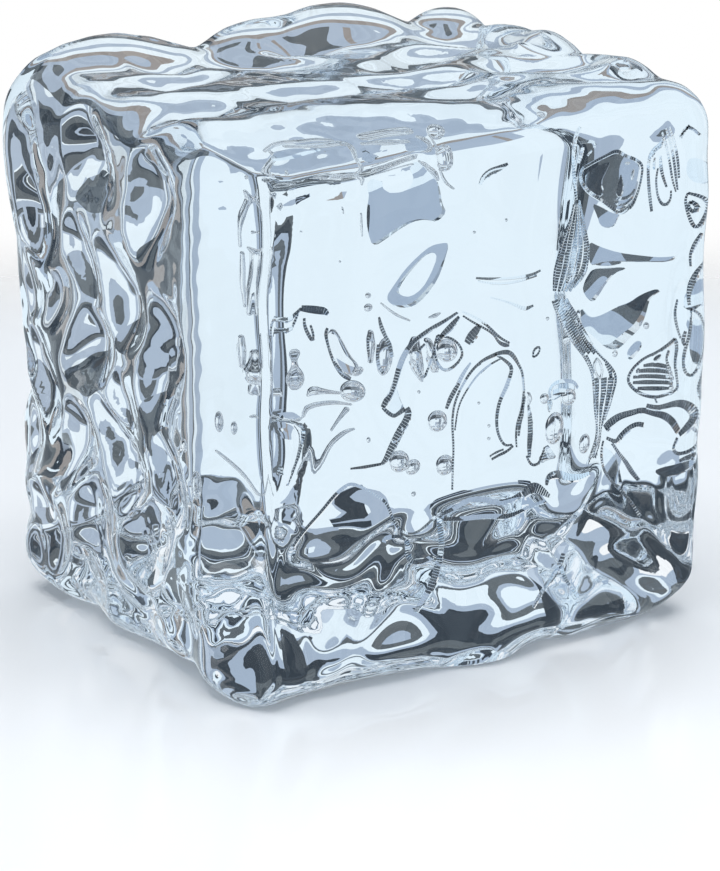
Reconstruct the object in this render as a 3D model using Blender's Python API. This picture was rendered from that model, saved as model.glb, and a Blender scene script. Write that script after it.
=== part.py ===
"""Ice block: one solid of clear ice, a rounded block whose faces carry hollows and swells.

Metres, +Z up. The origin is at the middle of the flat underside. The front face looks along -Y
and the left face along -X. Sizes below are in millimetres.
"""

import bpy
import numpy as np

MM = 0.001

# The plain block, before its faces are shaped
WIDTH = 50.0
DEPTH = 43.5
HEIGHT = 50.0
EDGE_RADIUS = 4.0
CELL = 1.72  # side of one facet

# How the shapes on the faces join
CREST_ROUNDING = 0.32  # ridges left between two hollows
SWELL_ROUNDING = 0.5  # foot of a swell
BEVEL_ROUNDING = 0.35  # edge of a bevel

# Slow waviness of the whole skin
WAVE_HEIGHT = 0.15
WAVE_LENGTHS = ((25.8, 32.7), (23.2, 27.6), (20.7, 30.8))

# Slow swirls that push the hollows out of true
SWIRL = 1.1
SWIRL_LENGTHS = ((15.3, 21.0), (13.1, 17.9), (11.7, 19.2))

# How far the right side leans out at the back, and how that changes with height
TAPER = 2.6
SWAY = 1.3
SWAY_LENGTH = 31.0
SWAY_CREST = 13.5  # height at which it leans out furthest

# Flat part of the underside, and the margin in which the skin starts to rise from it
BASE_HALF_WIDTH = 16.0
BASE_HALF_DEPTH = 13.0
BASE_MARGIN = 0.35

# Middle of the shaped block, which the origin is put under
MIDDLE = (1.13, 1.05, 0.0)

# The two directions along each face, the direction across it, and which side it is on
FACES = {
    "left": (1, 2, 0, -1),
    "right": (1, 2, 0, 1),
    "front": (0, 2, 1, -1),
    "back": (0, 2, 1, 1),
    "top": (0, 1, 2, 1),
}

# Bevels: outward direction, and how far the bevel plane is from the middle of the block
BEVELS = (
    ((-0.92, -0.39, 0.0), 28.7),
    ((0.0, 0.62, -0.78), 9.5),
    ((-0.7, 0.0, -0.7), 17.4),
    ((0.7, 0.0, -0.7), 15.0),
    ((0.45, -0.45, -0.77), 17.6),
    ((0.09, -0.5, -0.86), 10.9),
    ((-0.06, -0.34, 0.94), 52.1),
)

# Every hollow and swell: place along the face, half sizes along the face, turn in degrees, depth
LEFT_HOLLOWS = (
    (4.6, 42.6, 4.4, 4.6, 0, 1.9),
    (12.6, 38.8, 3.8, 4.6, 10, 1.6),
    (-7.0, 42.4, 4.0, 5.4, -12, 2.0),
    (-0.4, 33.4, 3.6, 4.8, 22, 1.6),
    (6.2, 33.6, 2.6, 3.8, -14, 1.1),
    (12.2, 31.0, 2.8, 3.2, 0, 1.1),
    (17.6, 29.6, 2.6, 4.4, 0, 1.0),
    (-8.2, 28.4, 4.2, 6.8, -6, 2.0),
    (14.4, 23.4, 4.0, 4.8, 0, 1.8),
    (4.6, 25.4, 4.2, 4.4, 0, 1.7),
    (-1.8, 23.8, 2.4, 4.0, 0, 1.0),
    (18.8, 16.0, 3.2, 5.6, 0, 1.3),
    (9.2, 16.6, 3.8, 4.2, 14, 1.6),
    (0.2, 17.8, 3.8, 4.2, 0, 1.9),
    (-8.6, 18.4, 3.0, 4.6, -10, 1.3),
    (-5.6, 11.8, 4.4, 4.2, 0, 1.8),
    (4.4, 9.4, 3.6, 4.2, -18, 1.3),
    (13.4, 9.0, 4.2, 4.4, 0, 1.5),
    (-2.0, 3.4, 5.6, 4.2, 0, 1.0),
    (8.4, 2.6, 5.0, 3.8, 0, 1.4),
    (17.4, 6.6, 3.2, 3.4, 0, 0.9),
    (-10.4, 4.6, 4.4, 4.6, 0, 0.9),
)
FRONT_HOLLOWS = (
    (14.4, 42.4, 4.4, 4.8, 12, 0.35),
    (20.8, 44.0, 3.6, 5.0, 0, 0.5),
    (16.4, 31.6, 7.4, 5.6, -16, 0.3),
    (22.0, 34.0, 3.6, 5.4, 0, 0.4),
    (21.4, 23.2, 4.2, 5.0, 0, 0.5),
    (15.0, 11.4, 5.0, 4.8, 0, 1.5),
    (21.6, 9.6, 3.8, 4.8, 0, 1.5),
    (17.6, 3.4, 5.6, 3.8, 0, 1.7),
    (-14.4, 10.6, 5.0, 4.4, 0, 0.9),
    (-9.6, 5.8, 5.6, 3.8, 10, 0.9),
    (-18.8, 5.8, 3.4, 5.0, 0, 0.9),
    (-3.4, 10.0, 4.6, 3.8, -8, 0.8),
    (-4.0, 3.6, 4.6, 3.2, 0, 0.9),
    (3.8, 8.6, 5.0, 4.0, 0, 0.9),
    (5.4, 2.8, 5.0, 3.0, 8, 0.9),
    (12.4, 11.8, 5.0, 4.6, 0, 0.9),
    (20.2, 14.2, 4.6, 5.4, 0, 1.0),
    (14.6, 4.6, 5.2, 4.0, 0, 1.0),
    (22.0, 6.0, 3.4, 4.4, 0, 1.0),
)
BACK_HOLLOWS = (
    (4.4, 4.0, 6.2, 4.6, 0, 1.6),
    (18.0, 1.0, 5.6, 4.6, 0, 0.9),
    (25.4, 3.0, 4.2, 4.6, 0, 0.8),
    (-5.4, 2.0, 4.4, 5.0, 0, 0.9),
    (-13.0, 5.4, 5.0, 5.4, 0, 0.9),
    (-20.0, 10.0, 4.5, 6.0, 0, 1.2),
    (-20.5, 36.0, 4.0, 8.0, 0, 1.2),
)
TOP_HOLLOWS = (
    (-17.0, 5.4, 6.8, 3.6, 12, 1.4),
    (-8.0, -5.6, 8.4, 3.4, 5, 1.2),
    (-20.0, -5.0, 4.4, 4.4, 0, 1.1),
    (3.6, -11.6, 7.0, 2.8, 0, 0.9),
    (-4.4, 9.4, 4.4, 6.0, 20, 1.6),
    (8.0, 3.6, 7.0, 3.8, 18, 1.4),
    (5.0, -4.6, 6.0, 3.0, -10, 1.1),
    (16.6, -5.4, 5.6, 4.2, 10, 1.3),
    (18.4, 9.6, 4.6, 5.6, 0, 1.6),
    (16.8, -13.6, 5.4, 3.0, 0, 1.0),
    (-12.0, 13.6, 3.8, 4.6, 0, 1.3),
    (3.0, 14.6, 4.0, 3.6, 0, 1.2),
)
RIGHT_HOLLOWS = (
    (-10.0, 40.0, 8.0, 8.0, 0, 0.3),
    (4.0, 38.0, 9.0, 9.0, 0, 0.3),
    (-6.0, 25.0, 9.0, 8.0, 0, 0.3),
    (7.0, 21.0, 8.0, 8.0, 0, 0.3),
    (-11.0, 10.0, 8.0, 7.0, 0, 0.8),
    (3.0, 7.0, 9.0, 7.0, 0, 0.9),
)
TOP_SWELLS = (
    (-15.5, 19.5, 8.6, 7.5, 0, 2.5),
    (1.6, 20.5, 7.0, 7.0, 0, 2.8),
    (8.0, 20.5, 8.6, 8.0, 0, 3.4),
    (20.6, 21.0, 4.6, 6.4, 0, 2.1),
    (23.5, 6.0, 5.0, 9.0, 0, 1.8),
    (23.0, -9.0, 5.0, 6.0, 0, 1.5),
)
LEFT_SWELLS = (
    (-15.5, 33.0, 3.6, 13.0, 4, 0.8),
    (-16.0, 12.0, 3.4, 9.0, -6, 0.6),
    (19.0, 44.0, 5.0, 6.0, 0, 0.7),
)
RIGHT_SWELLS = ((-21.0, 22.0, 7.0, 13.0, 0, 0.7),)
FRONT_SWELLS = (
    (23.0, 41.0, 4.0, 6.0, 0, 0.8),
    (4.0, 1.0, 8.0, 4.0, 0, 1.2),
)


def dish(points, face, shape):
    """Depth of one hollow or height of one swell at each point: a dome, below zero outside it."""
    first, second, across, side = FACES[face]
    along, up, half_width, half_height, turn, depth = shape
    centre = np.zeros(3)
    centre[first] = along
    centre[second] = up
    centre[across] = {0: WIDTH / 2, 1: DEPTH / 2, 2: HEIGHT}[across] * side
    away = points - centre
    cosine = np.cos(np.radians(turn))
    sine = np.sin(np.radians(turn))
    u = (cosine * away[:, first] + sine * away[:, second]) / half_width
    v = (cosine * away[:, second] - sine * away[:, first]) / half_height
    through = 0.8 * min(half_width, half_height) + 0.2 * max(half_width, half_height)
    w = away[:, across] / through
    return depth * (1.0 - (u * u + v * v + w * w))


def joined(points, groups, rounding):
    """The deepest of all the dishes at each point, with the crest between two of them rounded."""
    total = np.ones(len(points))
    for face, shapes in groups:
        for shape in shapes:
            total += np.exp(np.clip(dish(points, face, shape) / rounding, -60.0, 60.0))
    return rounding * np.log(total)


def waves(points):
    """Slow waviness of the skin."""
    x, y, z = 2.0 * np.pi * points.T
    (a, b), (c, d), (e, f) = WAVE_LENGTHS
    rolling = np.sin(x / a + 1.3) * np.sin(z / b + 0.4) + np.sin(y / c + 0.2) * np.sin(z / d + 2.0)
    return WAVE_HEIGHT * (rolling + np.sin(x / e + y / f))


def swirled(points):
    """The points pushed along slow swirls, so that no hollow is a plain oval."""
    x, y, z = 2.0 * np.pi * points.T
    (a, b), (c, d), (e, f) = SWIRL_LENGTHS
    push = (
        np.sin(y / a + z / b + 0.7) + 0.6 * np.sin(z / e - y / d),
        np.sin(z / c + x / d + 2.1) + 0.6 * np.sin(x / a + z / f + 1.0),
        np.sin(x / e + y / f + 4.0) + 0.6 * np.sin(y / c - x / b + 0.3),
    )
    return points + SWIRL * np.stack(push, axis=1)


def lattice(cell):
    """Points spread over the six sides of a unit cube, joined at its edges, and its square facets."""
    steps = [round(size / cell) for size in (WIDTH, DEPTH, HEIGHT)]
    index = np.indices([count + 1 for count in steps])
    on_skin = np.zeros(index.shape[1:], bool)
    for axis, count in enumerate(steps):
        on_skin |= (index[axis] == 0) | (index[axis] == count)
    number = np.full(on_skin.shape, -1)
    number[on_skin] = np.arange(on_skin.sum())
    unit = np.stack([index[axis][on_skin] / steps[axis] for axis in range(3)], axis=1)
    sides = (
        (number[:, :, -1], False),
        (number[:, :, 0], True),
        (number[-1], False),
        (number[0], True),
        (number[:, -1], True),
        (number[:, 0], False),
    )
    return unit, np.concatenate([facets(side, turned) for side, turned in sides])


def facets(side, turned):
    """Square facets of one side, each with its corners in order as seen from outside."""
    corners = (side[:-1, :-1], side[1:, :-1], side[1:, 1:], side[:-1, 1:])
    squares = np.stack(corners, axis=-1).reshape(-1, 4)
    return squares[:, ::-1] if turned else squares


def rounded_block(unit):
    """The unit points on a block with rounded edges, and the outward direction at each of them."""
    half = np.array([WIDTH, DEPTH, HEIGHT]) / 2
    flat = (unit * 2.0 - 1.0) * half
    core = np.clip(flat, EDGE_RADIUS - half, half - EDGE_RADIUS)
    outward = flat - core
    outward /= np.linalg.norm(outward, axis=1, keepdims=True)
    return core + EDGE_RADIUS * outward + (0.0, 0.0, HEIGHT / 2), outward


def bevelled(points):
    """The points beyond each bevel plane, put back onto it."""
    for direction, distance in BEVELS:
        direction = np.array(direction) / np.linalg.norm(direction)
        beyond = np.clip((points @ direction - distance) / BEVEL_ROUNDING, -60.0, 60.0)
        points = points - direction * (BEVEL_ROUNDING * np.log1p(np.exp(beyond)))[:, None]
    return points


def leaning(points):
    """The right side leaning out towards the back, a little further at two heights than between them."""
    reach = TAPER + SWAY * np.cos(2.0 * np.pi * (points[:, 2] - SWAY_CREST) / SWAY_LENGTH)
    share = np.maximum(points[:, 0], 0.0) / (WIDTH / 2) * (points[:, 1] / DEPTH + 0.5) ** 2
    points[:, 0] += reach * share
    return points


def shaped(points, outward):
    """The block's points moved in at the hollows and out at the swells, with a flat underside."""
    bold = (("left", LEFT_HOLLOWS), ("front", FRONT_HOLLOWS), ("top", TOP_HOLLOWS), ("right", RIGHT_HOLLOWS))
    swells = (
        ("top", TOP_SWELLS),
        ("left", LEFT_SWELLS),
        ("front", FRONT_SWELLS),
        ("right", RIGHT_SWELLS),
    )
    out = joined(points, swells, SWELL_ROUNDING) - joined(swirled(points), bold, CREST_ROUNDING)
    out -= joined(points, (("back", BACK_HOLLOWS),), CREST_ROUNDING)
    out += waves(points)
    under = points[:, 2] < 0.01
    reach = np.maximum(abs(points[:, 0]) / BASE_HALF_WIDTH, abs(points[:, 1]) / BASE_HALF_DEPTH)
    rise = np.clip((reach - 1.0) / BASE_MARGIN, 0.0, 1.0)
    out[under] = -abs(out[under]) * (rise * rise * (3.0 - 2.0 * rise))[under]
    moved = bevelled(points) + outward * out[:, None]
    moved[:, 2] = np.maximum(moved[:, 2], 0.0)
    return leaning(moved)


def ice_material():
    """Clear ice."""
    material = bpy.data.materials.new("clear ice")
    material.use_nodes = True
    shader = material.node_tree.nodes["Principled BSDF"]
    shader.inputs["Base Color"].default_value = (0.86, 0.93, 0.97, 1.0)
    shader.inputs["Roughness"].default_value = 0.02
    shader.inputs["Metallic"].default_value = 0.0
    shader.inputs["IOR"].default_value = 1.31
    shader.inputs["Transmission Weight"].default_value = 1.0
    return material


def ice_block():
    """The block as one mesh object."""
    unit, squares = lattice(CELL)
    points = (shaped(*rounded_block(unit)) - MIDDLE) * MM
    mesh = bpy.data.meshes.new("ice_block")
    mesh.from_pydata(points.tolist(), [], squares.tolist())
    mesh.update()
    mesh.materials.append(ice_material())
    block = bpy.data.objects.new("ice_block", mesh)
    bpy.context.scene.collection.objects.link(block)
    return block


for startup_object in list(bpy.data.objects):
    bpy.data.objects.remove(startup_object)
ice_block()
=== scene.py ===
"""Ice block: a clear block of ice with air bubbles, on a pale studio floor.

The block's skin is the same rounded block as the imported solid, with the same hollows, swells and
bevels on a finer lattice, and with fine folds and ripples besides. Sizes in the tables are in
millimetres.
"""

import math

import bpy
import numpy as np
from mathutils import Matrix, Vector


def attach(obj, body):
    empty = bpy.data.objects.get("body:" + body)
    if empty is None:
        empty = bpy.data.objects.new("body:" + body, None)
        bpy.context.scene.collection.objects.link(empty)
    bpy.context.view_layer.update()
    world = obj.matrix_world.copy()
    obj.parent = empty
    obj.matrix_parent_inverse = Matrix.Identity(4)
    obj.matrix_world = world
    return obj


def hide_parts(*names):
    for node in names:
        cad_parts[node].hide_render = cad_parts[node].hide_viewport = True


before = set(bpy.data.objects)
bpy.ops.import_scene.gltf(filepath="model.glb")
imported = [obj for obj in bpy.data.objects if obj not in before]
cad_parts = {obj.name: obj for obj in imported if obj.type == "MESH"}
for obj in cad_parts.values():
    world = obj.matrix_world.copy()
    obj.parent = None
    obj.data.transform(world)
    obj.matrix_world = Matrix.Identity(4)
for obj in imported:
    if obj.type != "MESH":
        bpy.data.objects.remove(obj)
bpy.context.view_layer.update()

bl_info = {
    "name": "Ice Block",
    "version": (1, 0, 0),
    "blender": (4, 5, 0),
    "location": "View3D > Sidebar > Ice Block",
    "description": "A clear block of ice with air bubbles, and a pale studio to show it in",
    "category": "Object",
}

MM = 0.001
TURN = 2.0 * np.pi

# ---------------------------------------------------------------------------
# The shape of the skin, as in the solid
# ---------------------------------------------------------------------------

WIDTH = 50.0
DEPTH = 43.5
HEIGHT = 50.0
EDGE_RADIUS = 4.0
CREST_ROUNDING = 0.32
SWELL_ROUNDING = 0.5
BEVEL_ROUNDING = 0.35
WAVE_HEIGHT = 0.15
WAVE_LENGTHS = ((25.8, 32.7), (23.2, 27.6), (20.7, 30.8))
WAVE_SHIFTS = (1.3, 0.4, 0.2, 2.0)
SWIRL = 1.1
SWIRL_LENGTHS = ((15.3, 21.0), (13.1, 17.9), (11.7, 19.2))
SWIRL_SHIFTS = (0.7, 2.1, 1.0, 4.0, 0.3)
SMALLER_SWIRL = 0.6  # share of the second swirl in each direction
TAPER = 2.6
SWAY = 1.3
SWAY_LENGTH = 31.0
SWAY_CREST = 13.5
BASE_HALF_WIDTH = 16.0
BASE_HALF_DEPTH = 13.0
BASE_MARGIN = 0.35
BASE_SKIN = 0.01  # a point of the plain block below this height is on its underside
MIDDLE = (1.13, 1.05, 0.0)
STEEPEST = 60.0  # largest exponent in a rounded join
DISH_SHAPE = (0.8, 0.2)  # reach of a dish into the block: shares of its smaller and its larger half size

# The two directions along each face, the direction across it, and which side it is on
FACES = {
    "left": (1, 2, 0, -1),
    "right": (1, 2, 0, 1),
    "front": (0, 2, 1, -1),
    "back": (0, 2, 1, 1),
    "top": (0, 1, 2, 1),
}

# How far each face lies from the middle of the underside, by the direction across it
LEVELS = (WIDTH / 2, DEPTH / 2, HEIGHT)

# Bevels: outward direction, and how far the bevel plane is from the middle of the block
BEVELS = (
    ((-0.92, -0.39, 0), 28.7), ((0, 0.62, -0.78), 9.5), ((-0.7, 0, -0.7), 17.4), ((0.7, 0, -0.7), 15),
    ((0.45, -0.45, -0.77), 17.6), ((0.09, -0.5, -0.86), 10.9), ((-0.06, -0.34, 0.94), 52.1),
)

# Every hollow and swell: place along the face, half sizes along the face, turn in degrees, depth
LEFT_HOLLOWS = (
    (4.6, 42.6, 4.4, 4.6, 0, 1.9), (12.6, 38.8, 3.8, 4.6, 10, 1.6), (-7, 42.4, 4, 5.4, -12, 2),
    (-0.4, 33.4, 3.6, 4.8, 22, 1.6), (6.2, 33.6, 2.6, 3.8, -14, 1.1), (12.2, 31, 2.8, 3.2, 0, 1.1),
    (17.6, 29.6, 2.6, 4.4, 0, 1), (-8.2, 28.4, 4.2, 6.8, -6, 2), (14.4, 23.4, 4, 4.8, 0, 1.8),
    (4.6, 25.4, 4.2, 4.4, 0, 1.7), (-1.8, 23.8, 2.4, 4, 0, 1), (18.8, 16, 3.2, 5.6, 0, 1.3),
    (9.2, 16.6, 3.8, 4.2, 14, 1.6), (0.2, 17.8, 3.8, 4.2, 0, 1.9), (-8.6, 18.4, 3, 4.6, -10, 1.3),
    (-5.6, 11.8, 4.4, 4.2, 0, 1.8), (4.4, 9.4, 3.6, 4.2, -18, 1.3), (13.4, 9, 4.2, 4.4, 0, 1.5),
    (-2, 3.4, 5.6, 4.2, 0, 1), (8.4, 2.6, 5, 3.8, 0, 1.4), (17.4, 6.6, 3.2, 3.4, 0, 0.9),
    (-10.4, 4.6, 4.4, 4.6, 0, 0.9),
)
FRONT_HOLLOWS = (
    (14.4, 42.4, 4.4, 4.8, 12, 0.35), (20.8, 44, 3.6, 5, 0, 0.5), (16.4, 31.6, 7.4, 5.6, -16, 0.3),
    (22, 34, 3.6, 5.4, 0, 0.4), (21.4, 23.2, 4.2, 5, 0, 0.5), (15, 11.4, 5, 4.8, 0, 1.5),
    (21.6, 9.6, 3.8, 4.8, 0, 1.5), (17.6, 3.4, 5.6, 3.8, 0, 1.7), (-14.4, 10.6, 5, 4.4, 0, 0.9),
    (-9.6, 5.8, 5.6, 3.8, 10, 0.9), (-18.8, 5.8, 3.4, 5, 0, 0.9), (-3.4, 10, 4.6, 3.8, -8, 0.8),
    (-4, 3.6, 4.6, 3.2, 0, 0.9), (3.8, 8.6, 5, 4, 0, 0.9), (5.4, 2.8, 5, 3, 8, 0.9),
    (12.4, 11.8, 5, 4.6, 0, 0.9), (20.2, 14.2, 4.6, 5.4, 0, 1), (14.6, 4.6, 5.2, 4, 0, 1),
    (22, 6, 3.4, 4.4, 0, 1),
)
BACK_HOLLOWS = (
    (4.4, 4, 6.2, 4.6, 0, 1.6), (18, 1, 5.6, 4.6, 0, 0.9), (25.4, 3, 4.2, 4.6, 0, 0.8),
    (-5.4, 2, 4.4, 5, 0, 0.9), (-13, 5.4, 5, 5.4, 0, 0.9), (-20, 10, 4.5, 6, 0, 1.2),
    (-20.5, 36, 4, 8, 0, 1.2),
)
TOP_HOLLOWS = (
    (-17, 5.4, 6.8, 3.6, 12, 1.4), (-8, -5.6, 8.4, 3.4, 5, 1.2), (-20, -5, 4.4, 4.4, 0, 1.1),
    (3.6, -11.6, 7, 2.8, 0, 0.9), (-4.4, 9.4, 4.4, 6, 20, 1.6), (8, 3.6, 7, 3.8, 18, 1.4),
    (5, -4.6, 6, 3, -10, 1.1), (16.6, -5.4, 5.6, 4.2, 10, 1.3), (18.4, 9.6, 4.6, 5.6, 0, 1.6),
    (16.8, -13.6, 5.4, 3, 0, 1), (-12, 13.6, 3.8, 4.6, 0, 1.3), (3, 14.6, 4, 3.6, 0, 1.2),
)
RIGHT_HOLLOWS = (
    (-10, 40, 8, 8, 0, 0.3), (4, 38, 9, 9, 0, 0.3), (-6, 25, 9, 8, 0, 0.3), (7, 21, 8, 8, 0, 0.3),
    (-11, 10, 8, 7, 0, 0.8), (3, 7, 9, 7, 0, 0.9),
)
TOP_SWELLS = (
    (-15.5, 19.5, 8.6, 7.5, 0, 2.5), (1.6, 20.5, 7, 7, 0, 2.8), (8, 20.5, 8.6, 8, 0, 3.4),
    (20.6, 21, 4.6, 6.4, 0, 2.1), (23.5, 6, 5, 9, 0, 1.8), (23, -9, 5, 6, 0, 1.5),
)
LEFT_SWELLS = (
    (-15.5, 33, 3.6, 13, 4, 0.8), (-16, 12, 3.4, 9, -6, 0.6), (19, 44, 5, 6, 0, 0.7),
)
RIGHT_SWELLS = ((-21.0, 22.0, 7.0, 13.0, 0, 0.7),)
FRONT_SWELLS = (
    (23, 41, 4, 6, 0, 0.8), (4, 1, 8, 4, 0, 1.2),
)
BOLD_HOLLOWS = (
    ("left", LEFT_HOLLOWS),
    ("front", FRONT_HOLLOWS),
    ("top", TOP_HOLLOWS),
    ("right", RIGHT_HOLLOWS),
)
CALM_HOLLOWS = (("back", BACK_HOLLOWS),)
SWELLS = (
    ("top", TOP_SWELLS),
    ("left", LEFT_SWELLS),
    ("front", FRONT_SWELLS),
    ("right", RIGHT_SWELLS),
)

# ---------------------------------------------------------------------------
# Fine relief, on the skin only
# ---------------------------------------------------------------------------

# Grain of the rough sides: the left side, and the top from a height up
GRAIN_HEIGHT = 0.02
GRAIN_LEFT_FROM = -24.0
GRAIN_TOP_FROM = 47.0
GRAIN_TOP_MARGIN = 3.0
GRAIN_LENGTHS = ((2.9, 9.0), (3.3, 8.0), (3.1, 6.1), (4.3, 3.7))
GRAIN_BENDS = (1.7, 1.4)
GRAIN_SHIFT = 1.0

# Rings round the middle of some hollows: face, place along the face and reach
RING_HEIGHT = 0.07
RING_LENGTH = 1.9
RING_FALL = 4  # power by which the rings fade towards their reach
RING_SKIN = 3.0  # how far from the plain face a ring may lie
RINGS = (
    ("left", -5.9, 12.0, 3.2),
    ("left", -8.6, 28.0, 3.0),
    ("left", 0.2, 18.2, 2.6),
    ("left", 4.4, 42.6, 2.6),
)

# Folds: face, line along the face, half width and depth
FOLD_WRAP = 0.5  # how much the distance from the plain face counts
FOLDS = (
    ("front", ((-22, 46.4), (-21.3, 41), (-22.3, 36), (-21.6, 30), (-22.2, 25), (-21, 17)), 0.9, 1.2),
    ("front", ((-20.6, 45.6), (-20.2, 42.6), (-21, 40.4)), 0.6, 0.45),
    ("front", ((-21, 26), (-19.2, 25.4), (-18.8, 23.4), (-19.8, 20.6), (-20.2, 18.4)), 0.7, 0.7),
    ("front", ((-20.8, 45.4), (-17, 46), (-13, 45.2), (-10, 46), (-7.6, 46.6)), 0.6, 0.45),
    ("front", ((-19.8, 43.8), (-17.4, 44.6), (-14.6, 44.8)), 0.8, 0.5),
)

# Share of each step that is cut off a line's corners to round it
CORNER_CUT = 0.25


def dish(points, face, shape):
    """Depth of one hollow or height of one swell at each point: a dome, below zero outside it."""
    first, second, across, side = FACES[face]
    along, up, half_width, half_height, turn, depth = shape
    centre = np.zeros(3)
    centre[first] = along
    centre[second] = up
    centre[across] = LEVELS[across] * side
    away = points - centre
    cosine = np.cos(np.radians(turn))
    sine = np.sin(np.radians(turn))
    u = (cosine * away[:, first] + sine * away[:, second]) / half_width
    v = (cosine * away[:, second] - sine * away[:, first]) / half_height
    smaller, larger = DISH_SHAPE
    through = smaller * min(half_width, half_height) + larger * max(half_width, half_height)
    w = away[:, across] / through
    return depth * (1.0 - (u * u + v * v + w * w))


def joined(points, groups, rounding):
    """The deepest of all the dishes at each point, with the crest between two of them rounded."""
    total = np.ones(len(points))
    for face, shapes in groups:
        for shape in shapes:
            total += np.exp(np.clip(dish(points, face, shape) / rounding, -STEEPEST, STEEPEST))
    return rounding * np.log(total)


def waves(points):
    """Slow waviness of the skin."""
    x, y, z = TURN * points.T
    (a, b), (c, d), (e, f) = WAVE_LENGTHS
    p, q, r, s = WAVE_SHIFTS
    rolling = np.sin(x / a + p) * np.sin(z / b + q) + np.sin(y / c + r) * np.sin(z / d + s)
    return WAVE_HEIGHT * (rolling + np.sin(x / e + y / f))


def swirled(points):
    """The points pushed along slow swirls, so that no hollow is a plain oval."""
    x, y, z = TURN * points.T
    (a, b), (c, d), (e, f) = SWIRL_LENGTHS
    p, q, r, s, t = SWIRL_SHIFTS
    push = (
        np.sin(y / a + z / b + p) + SMALLER_SWIRL * np.sin(z / e - y / d),
        np.sin(z / c + x / d + q) + SMALLER_SWIRL * np.sin(x / a + z / f + r),
        np.sin(x / e + y / f + s) + SMALLER_SWIRL * np.sin(y / c - x / b + t),
    )
    return points + SWIRL * np.stack(push, axis=1)


def lattice(cell):
    """Points spread over the six sides of a unit cube, joined at its edges, and its square facets."""
    steps = [round(size / cell) for size in (WIDTH, DEPTH, HEIGHT)]
    index = np.indices([count + 1 for count in steps])
    on_skin = np.zeros(index.shape[1:], bool)
    for axis, count in enumerate(steps):
        on_skin |= (index[axis] == 0) | (index[axis] == count)
    number = np.full(on_skin.shape, -1)
    number[on_skin] = np.arange(on_skin.sum())
    unit = np.stack([index[axis][on_skin] / steps[axis] for axis in range(3)], axis=1)
    sides = (
        (number[:, :, -1], False),
        (number[:, :, 0], True),
        (number[-1], False),
        (number[0], True),
        (number[:, -1], True),
        (number[:, 0], False),
    )
    return unit, np.concatenate([facets(side, turned) for side, turned in sides])


def facets(side, turned):
    """Square facets of one side, each with its corners in order as seen from outside."""
    corners = (side[:-1, :-1], side[1:, :-1], side[1:, 1:], side[:-1, 1:])
    squares = np.stack(corners, axis=-1).reshape(-1, 4)
    return squares[:, ::-1] if turned else squares


def rounded_block(unit):
    """The unit points on a block with rounded edges, and the outward direction at each of them."""
    half = np.array([WIDTH, DEPTH, HEIGHT]) / 2
    flat = (unit * 2.0 - 1.0) * half
    core = np.clip(flat, EDGE_RADIUS - half, half - EDGE_RADIUS)
    outward = flat - core
    outward /= np.linalg.norm(outward, axis=1, keepdims=True)
    return core + EDGE_RADIUS * outward + (0.0, 0.0, HEIGHT / 2), outward


def bevelled(points):
    """The points beyond each bevel plane, put back onto it."""
    for direction, distance in BEVELS:
        direction = np.array(direction) / np.linalg.norm(direction)
        beyond = np.clip((points @ direction - distance) / BEVEL_ROUNDING, -STEEPEST, STEEPEST)
        points = points - direction * (BEVEL_ROUNDING * np.log1p(np.exp(beyond)))[:, None]
    return points


def leaning(points):
    """The right side leaning out towards the back, a little further at two heights than between them."""
    reach = TAPER + SWAY * np.cos(TURN * (points[:, 2] - SWAY_CREST) / SWAY_LENGTH)
    share = np.maximum(points[:, 0], 0.0) / (WIDTH / 2) * (points[:, 1] / DEPTH + 0.5) ** 2
    points[:, 0] += reach * share
    return points


def shaped(points, outward):
    """The block's points moved in at the hollows and out at the swells, with a flat underside."""
    out = joined(points, SWELLS, SWELL_ROUNDING) - joined(swirled(points), BOLD_HOLLOWS, CREST_ROUNDING)
    out -= joined(points, CALM_HOLLOWS, CREST_ROUNDING)
    out += waves(points)
    out += fine_relief(points)
    under = points[:, 2] < BASE_SKIN
    reach = np.maximum(abs(points[:, 0]) / BASE_HALF_WIDTH, abs(points[:, 1]) / BASE_HALF_DEPTH)
    rise = np.clip((reach - 1.0) / BASE_MARGIN, 0.0, 1.0)
    out[under] = -abs(out[under]) * (rise * rise * (3.0 - 2.0 * rise))[under]
    moved = bevelled(points) + outward * out[:, None]
    moved[:, 2] = np.maximum(moved[:, 2], 0.0)
    return leaning(moved)


def cut_corners(starts, ends):
    """Two points on each step of a line, one near its start and one near its end."""
    near = (1.0 - CORNER_CUT) * starts + CORNER_CUT * ends
    far = CORNER_CUT * starts + (1.0 - CORNER_CUT) * ends
    return np.stack([near, far], axis=1).reshape(-1, starts.shape[1])


def smoothed(line):
    """An open line with its corners rounded."""
    line = np.asarray(line)
    for _ in range(2):
        line = np.concatenate([line[:1], cut_corners(line[:-1], line[1:]), line[-1:]])
    return line


def rounded_outline(outline, times=1):
    """A closed outline with its corners cut off once or more."""
    outline = np.asarray(outline)
    for _ in range(times):
        outline = cut_corners(outline, np.roll(outline, -1, axis=0))
    return outline


def folds(points):
    """Depth of the long folds at each point."""
    total = np.zeros(len(points))
    for face, line, half_width, depth in FOLDS:
        first, second, across, side = FACES[face]
        near = np.full(len(points), np.inf)
        flat = points[:, (first, second)]
        line = smoothed(line)
        for start, end in zip(line, line[1:]):
            step = end - start
            share = np.clip((flat - start) @ step / (step @ step), 0.0, 1.0)
            near = np.minimum(near, np.linalg.norm(flat - start - share[:, None] * step, axis=1))
        near = np.hypot(near, (points[:, across] - LEVELS[across] * side) * FOLD_WRAP)
        total += depth * np.exp(-((near / half_width) ** 2))
    return total


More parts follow.
